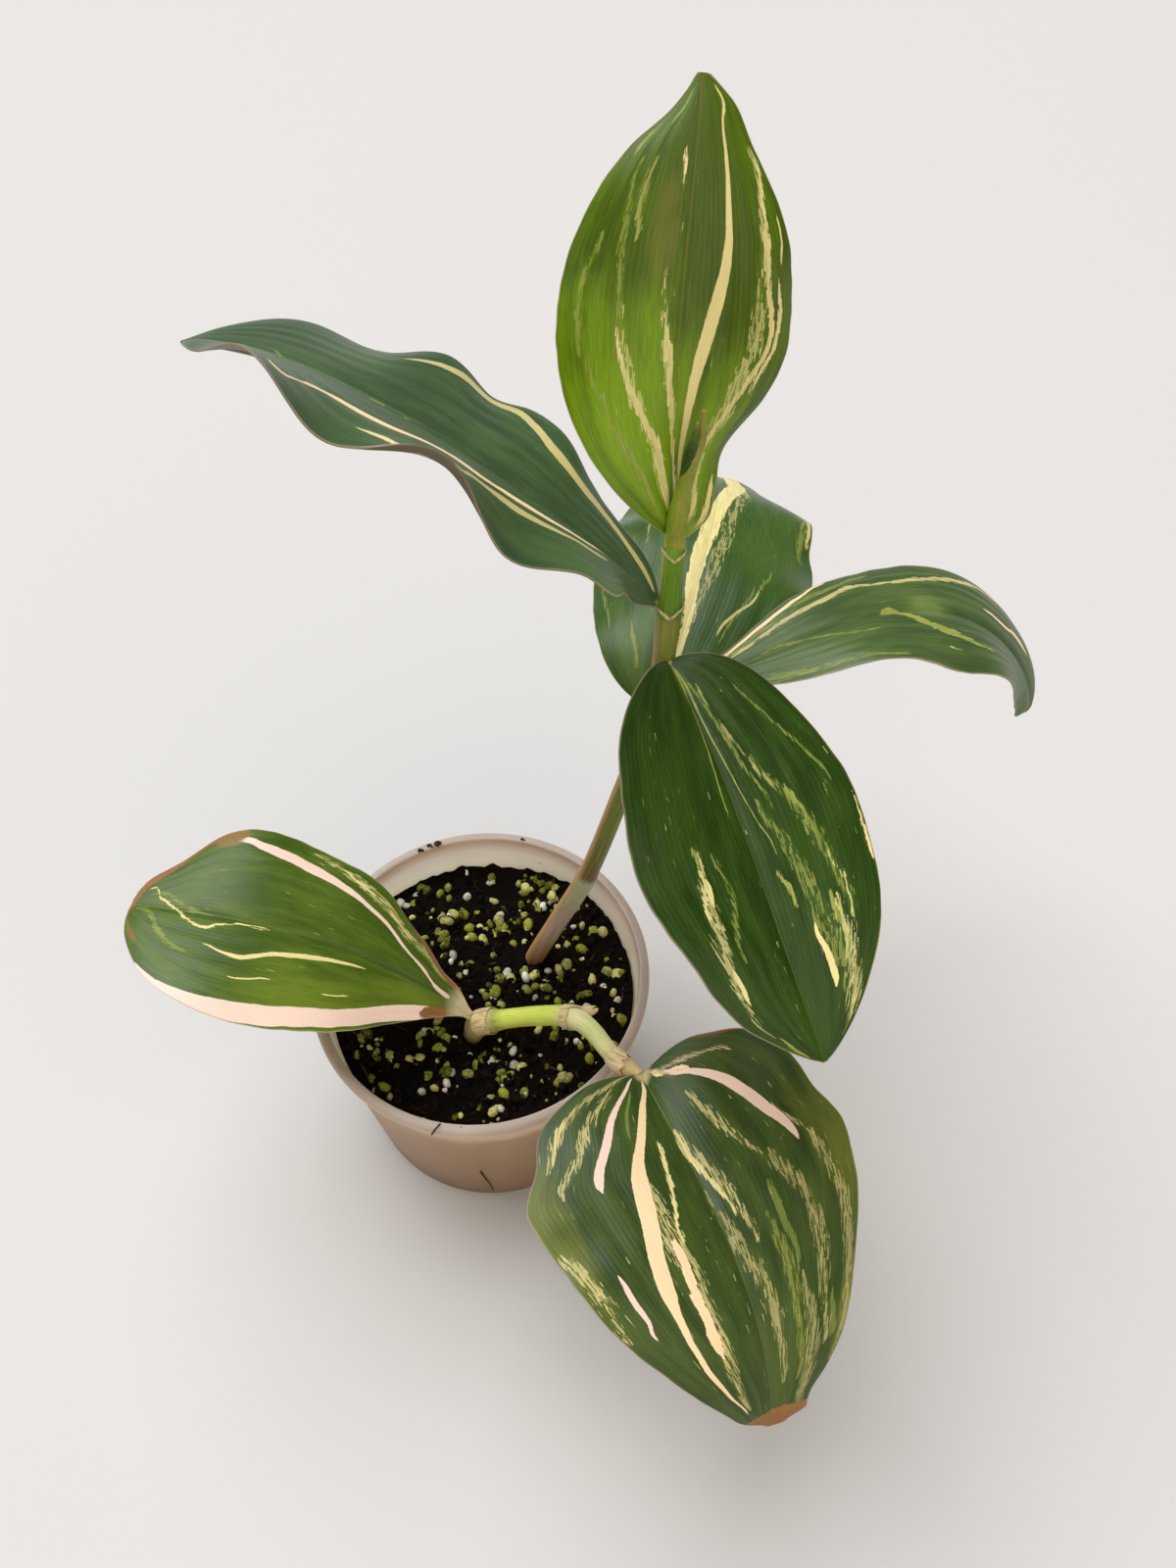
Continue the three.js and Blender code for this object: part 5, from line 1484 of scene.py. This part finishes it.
class GINGER_OT_canes(bpy.types.Operator):
    """Makes the two canes with their nodes and internodes"""
    bl_idname = "ginger.canes"
    bl_label = "Canes"

    def execute(self, context):
        props = context.scene.ginger_cane
        for name, node, line, radii, colours, seed in (
            ("cane_tall", "tall_cane", TALL_LINE, TALL_RADII, TALL_COLOURS, 3),
            ("cane_short", "short_cane", SHORT_LINE, SHORT_RADII, SHORT_COLOURS, 8),
        ):
            side = TALL_SIDE_TINT_AND_HIGHLIGHT if name == "cane_tall" else SHORT_SIDE
            centres = smooth_line(line, props.steps)
            widths = radii_along(radii, props.steps)
            cane = joined(name, tube(centres, widths, props.sides, wobble=0.05, seed=seed))
            skin = cane_material("waxy " + name.replace("_", " "), colours, seed, side)
            finish_piece(cane, skin, "cane", node)
        return {"FINISHED"}


def collar(line, radii, start, end, tear, dip, seed):
    """Thin sleeve on a cane, flared a little and torn along its upper edge."""
    sides, steps, count = 48, 14, 400
    skin, gap, mouth, tooth_size = 0.18, 0.06, 0.22, 1.3
    centres = smooth_line(line, count)
    widths = radii_along(radii, count)
    across, up = ring_frames(centres)
    rows_out, rows_in = [], []
    length = np.linalg.norm(np.diff(centres, axis=0), axis=1).sum()
    for k in range(steps + 1):
        t = k / steps
        ring_out, ring_in = [], []
        for s in range(sides):
            angle = 2 * math.pi * s / sides
            tooth = Vector((tooth_size * math.cos(angle), tooth_size * math.sin(angle), seed))
            ragged = noise.fractal(tooth, 0.9, 2.0, 3)
            sideways = abs(math.cos(angle) * across[0][0] + math.sin(angle) * up[0][0])
            lift = dip * (sideways - 0.5)
            place = start + (end - start) * t + (lift + t * t * ragged * tear) / length
            exact = min(max(place, 0), 1) * (count - 1)
            i = min(int(exact), count - 2)
            mix = exact - i
            centre = centres[i] * (1 - mix) + centres[i + 1] * mix
            flare = gap + mouth * t ** 4
            for ring, extra in ((ring_out, skin), (ring_in, 0.0)):
                radius = widths[i] * (1 - mix) + widths[i + 1] * mix + flare + extra
                ring.append(
                    centre + radius * (math.cos(angle) * across[i] + math.sin(angle) * up[i]))
        rows_out.append(ring_out)
        rows_in.append(ring_in)
    points = np.array(rows_out + rows_in[::-1]).reshape(-1, 3) * MM
    rows = 2 * (steps + 1)
    faces = []
    for r in range(rows):
        after = (r + 1) % rows
        for s in range(sides):
            beside = (s + 1) % sides
            faces.append((r * sides + s, r * sides + beside, after * sides + beside, after * sides + s))
    uvs = [(r / rows, s / sides) for r in range(rows) for s in range(sides)]
    return points, faces, uvs


def torn_strip(start, end, width):
    """Curled strip of dry sheath between two points, torn at its far end."""
    start, end = np.array(start), np.array(end)
    ahead = end - start
    side = np.cross(ahead, [0, 0, 1.0])
    side /= np.linalg.norm(side)
    lift = np.cross(side, ahead / np.linalg.norm(ahead))
    rows, columns, skin = 22, 12, 0.2
    grid = np.zeros((rows + 1, columns + 1, 3))
    for r in range(rows + 1):
        for c in range(columns + 1):
            t, place = r / rows, c / columns - 0.5
            torn = 1 - 0.28 * abs(noise.noise(Vector((c * 0.9, 2.0, 5.0)))) - 0.25 * abs(place)
            narrow = width * (1 - 0.55 * t * t)
            crumple = 0.5 * noise.noise(Vector((t * 3, place * 3, 1)))
            curl = 1.5 * (1 - 4 * place * place) * (1 - 0.4 * t) + crumple
            grid[r, c] = start + ahead * t * torn + side * place * narrow + lift * (curl - 1.0)
    half_skin = sheet_normals(grid) * skin / 2
    points = np.concatenate([(grid + half_skin).reshape(-1, 3), (grid - half_skin).reshape(-1, 3)])
    uvs = [(r / rows * 0.3, c / columns) for r in range(rows + 1) for c in range(columns + 1)] * 2
    return points * MM, sheet_faces(rows + 1, columns + 1)[0], uvs


class GINGER_OT_sheaths(bpy.types.Operator):
    """Makes the papery leaf sheaths round the nodes and the torn one at the bend"""
    bl_idname = "ginger.sheaths"
    bl_label = "Dry sheaths"

    def execute(self, context):
        props = context.scene.ginger_cane
        lines = {"tall": (TALL_LINE, TALL_RADII), "short": (SHORT_LINE, SHORT_RADII)}
        finish = sheath_material(props)
        for cane in ("tall", "short"):
            shapes = [
                collar(*lines[cane], *values, index * 3.0)
                for index, (which, *values) in enumerate(COLLARS) if which == cane
            ]
            if cane == "short":
                shapes.append(torn_strip(*STUB))
            finish_piece(joined(f"sheaths_{cane}", *shapes), finish, "cane")
        return {"FINISHED"}


class GINGER_OT_spear(bpy.types.Operator):
    """Makes the two new leaves that are still rolled up"""
    bl_idname = "ginger.spear"
    bl_label = "Rolled leaves"

    def execute(self, context):
        count = 120
        widths = radii_along(SPEAR_RADII, count)
        shape = tube(smooth_line(SPEAR_LINE, count), widths, 40, wobble=0.06, seed=5, swirl=0.22)
        colours = (
            (0.0, 0x8CA022), (0.12, 0x6E9010), (0.35, 0x7A961A), (0.6, 0x728A16), (0.72, 0x94A03A),
            (0.82, 0x4E6C1C), (1.0, 0x8A7A3A),
        )
        skin = cane_material("rolled young leaf", colours, 12, (0xA49440, 0.78, 0.45, 1.2))
        finish_piece(joined("rolled_leaf", shape), skin, "young_leaf", "leaf_spear")

        widths = radii_along(SECOND_SPEAR_RADII, count)
        shape = tube(
            smooth_line(SECOND_SPEAR_LINE, count), widths, 24, wobble=0.06, seed=9, swirl=0.3)
        colours = ((0.0, 0x3E5E0C), (0.5, 0x243E06), (0.9, 0x4A661A), (1.0, 0x8A7A3A))
        skin = cane_material("second rolled leaf", colours, 14, (0x3E5E0C, 0.0, 0.0, 1.2))
        finish_piece(joined("second_rolled_leaf", shape), skin, "young_leaf")
        return {"FINISHED"}


class GINGER_OT_leaves(bpy.types.Operator):
    """Makes the seven open leaves"""
    bl_idname = "ginger.leaves"
    bl_label = "Leaves"

    def execute(self, context):
        props = context.scene.ginger_leaf
        for seed, (node, leaf) in enumerate(LEAVES.items()):
            blade = leaf_mesh("blade_" + node[5:], leaf, props, seed * 7.3)
            finish = leaf_material(node[5:].replace("_", " "), leaf, props, seed * 7.3)
            slot = "young_leaf" if node == "leaf_crown" else "mature_leaf"
            finish_piece(blade, finish, slot, node)
        return {"FINISHED"}


class GINGER_OT_rootlets(bpy.types.Operator):
    """Makes the dark rootlets and crumbs on the pot"""
    bl_idname = "ginger.rootlets"
    bl_label = "Rootlets"

    def execute(self, context):
        pot = context.scene.ginger_pot
        shapes = []
        for thickness, *route in ROOTLETS:
            line = []
            for turn, height, out in route:
                radius = pot_radius(pot, height * MM) / MM + out
                angle = math.radians(turn)
                line.append((radius * math.cos(angle), radius * math.sin(angle), height))
            radii = np.linspace(thickness, thickness / 2, 30)
            shapes.append(tube(smooth_line(line, 30), radii, 8, wobble=0.3))
        finish = soil_material("dry root", 0x241B16, 0x4A3A30, 1.0, 0.2, 0.8)
        finish_piece(joined("rootlets", *shapes), finish, "potting_mix")
        return {"FINISHED"}


class GINGER_OT_stage(bpy.types.Operator):
    """Sets the pale floor, the soft lights and the camera at the photograph's angle"""
    bl_idname = "ginger.stage"
    bl_label = "Stage"

    def execute(self, context):
        props = context.scene.ginger_stage
        size = 12.0
        floor = make_object(
            "floor", [(-size, -size, 0), (size, -size, 0), (size, size, 0), (-size, size, 0)],
            [(0, 1, 2, 3)], smooth=False)
        floor.data.materials.append(floor_material(props))
        lights = (
            ("key", (-0.3, 0.4, 1.0), 55, props.key_power, 0xF6F9FF),
            ("fill", (0.3, -0.9, 0.9), 80, props.fill_power, 0xFFF2E0),
        )
        for name, place, spread, strength, tint in lights:
            lamp = bpy.data.lights.new(name, "SUN")
            lamp.angle = math.radians(spread)
            lamp.energy = strength
            lamp.color = linear(tint)[:3]
            holder = bpy.data.objects.new(name, lamp)
            holder.location = place
            holder.rotation_euler = (-Vector(place)).to_track_quat("-Z", "Y").to_euler()
            context.scene.collection.objects.link(holder)
        world = bpy.data.worlds.new("soft sky")
        world.use_nodes = True
        tree = world.node_tree
        add = partial(add_node, tree)
        sky = tree.nodes["Background"]
        set_inputs(sky, Color=linear(0xEAF0F6), Strength=props.sky)
        seen = add("Background", {"Color": linear(0xE4E5E7)})
        both = add("MixShader", {0: add("LightPath").outputs["Is Camera Ray"], 1: sky, 2: seen})
        set_inputs(tree.nodes["World Output"], Surface=both)
        context.scene.world = world
        context.scene.view_settings.view_transform = "Standard"

        down, roll = math.radians(CAMERA_DOWN), math.radians(CAMERA_ROLL)
        ahead = Vector((0, math.cos(down), -math.sin(down)))
        right, below = Vector((1, 0, 0)), Vector((0, -math.sin(down), -math.cos(down)))
        across = right * math.cos(roll) + below * math.sin(roll)
        upward = right * math.sin(roll) - below * math.cos(roll)
        lens = bpy.data.cameras.new("camera")
        lens.sensor_fit = "AUTO"
        lens.sensor_width = SENSOR_MM
        lens.lens = SENSOR_MM * FOCAL_PX / PHOTO_HEIGHT_PX
        lens.clip_start = 0.01
        camera = bpy.data.objects.new("camera", lens)
        camera.matrix_world = Matrix.Translation(Vector(CAMERA_PLACE) * MM) @ Matrix(
            (across, upward, -ahead)).transposed().to_4x4()
        context.scene.collection.objects.link(camera)
        context.scene.camera = camera
        return {"FINISHED"}


class GINGER_PT_panel(bpy.types.Panel):
    """Lists the pieces of the plant in the sidebar"""
    bl_label = "Potted spiral ginger"
    bl_space_type = "VIEW_3D"
    bl_region_type = "UI"
    bl_category = "Ginger"

    def draw(self, context):
        for operator in OPERATORS:
            self.layout.operator(operator.bl_idname)
        for group in GROUPS:
            box = self.layout.box()
            values = getattr(context.scene, group)
            for name in values.bl_rna.properties.keys():
                if name not in ("rna_type", "name"):
                    box.prop(values, name)


OPERATORS = (
    GINGER_OT_stage, GINGER_OT_pot, GINGER_OT_soil, GINGER_OT_rootlets, GINGER_OT_canes,
    GINGER_OT_sheaths, GINGER_OT_spear, GINGER_OT_leaves,
)
GROUPS = {
    "ginger_pot": PotProps, "ginger_soil": SoilProps, "ginger_cane": CaneProps,
    "ginger_leaf": LeafProps, "ginger_stage": StageProps,
}


def register():
    for kind in (*GROUPS.values(), *OPERATORS, GINGER_PT_panel):
        bpy.utils.register_class(kind)
    for name, kind in GROUPS.items():
        setattr(bpy.types.Scene, name, PointerProperty(type=kind))


def unregister():
    for name in GROUPS:
        delattr(bpy.types.Scene, name)
    for kind in (GINGER_PT_panel, *OPERATORS[::-1], *list(GROUPS.values())[::-1]):
        bpy.utils.unregister_class(kind)


def main():
    """Builds the whole plant and its stage."""
    register()
    for operator in OPERATORS:
        group, name = operator.bl_idname.split(".")
        getattr(getattr(bpy.ops, group), name)()


if __name__ == "__main__":
    main()
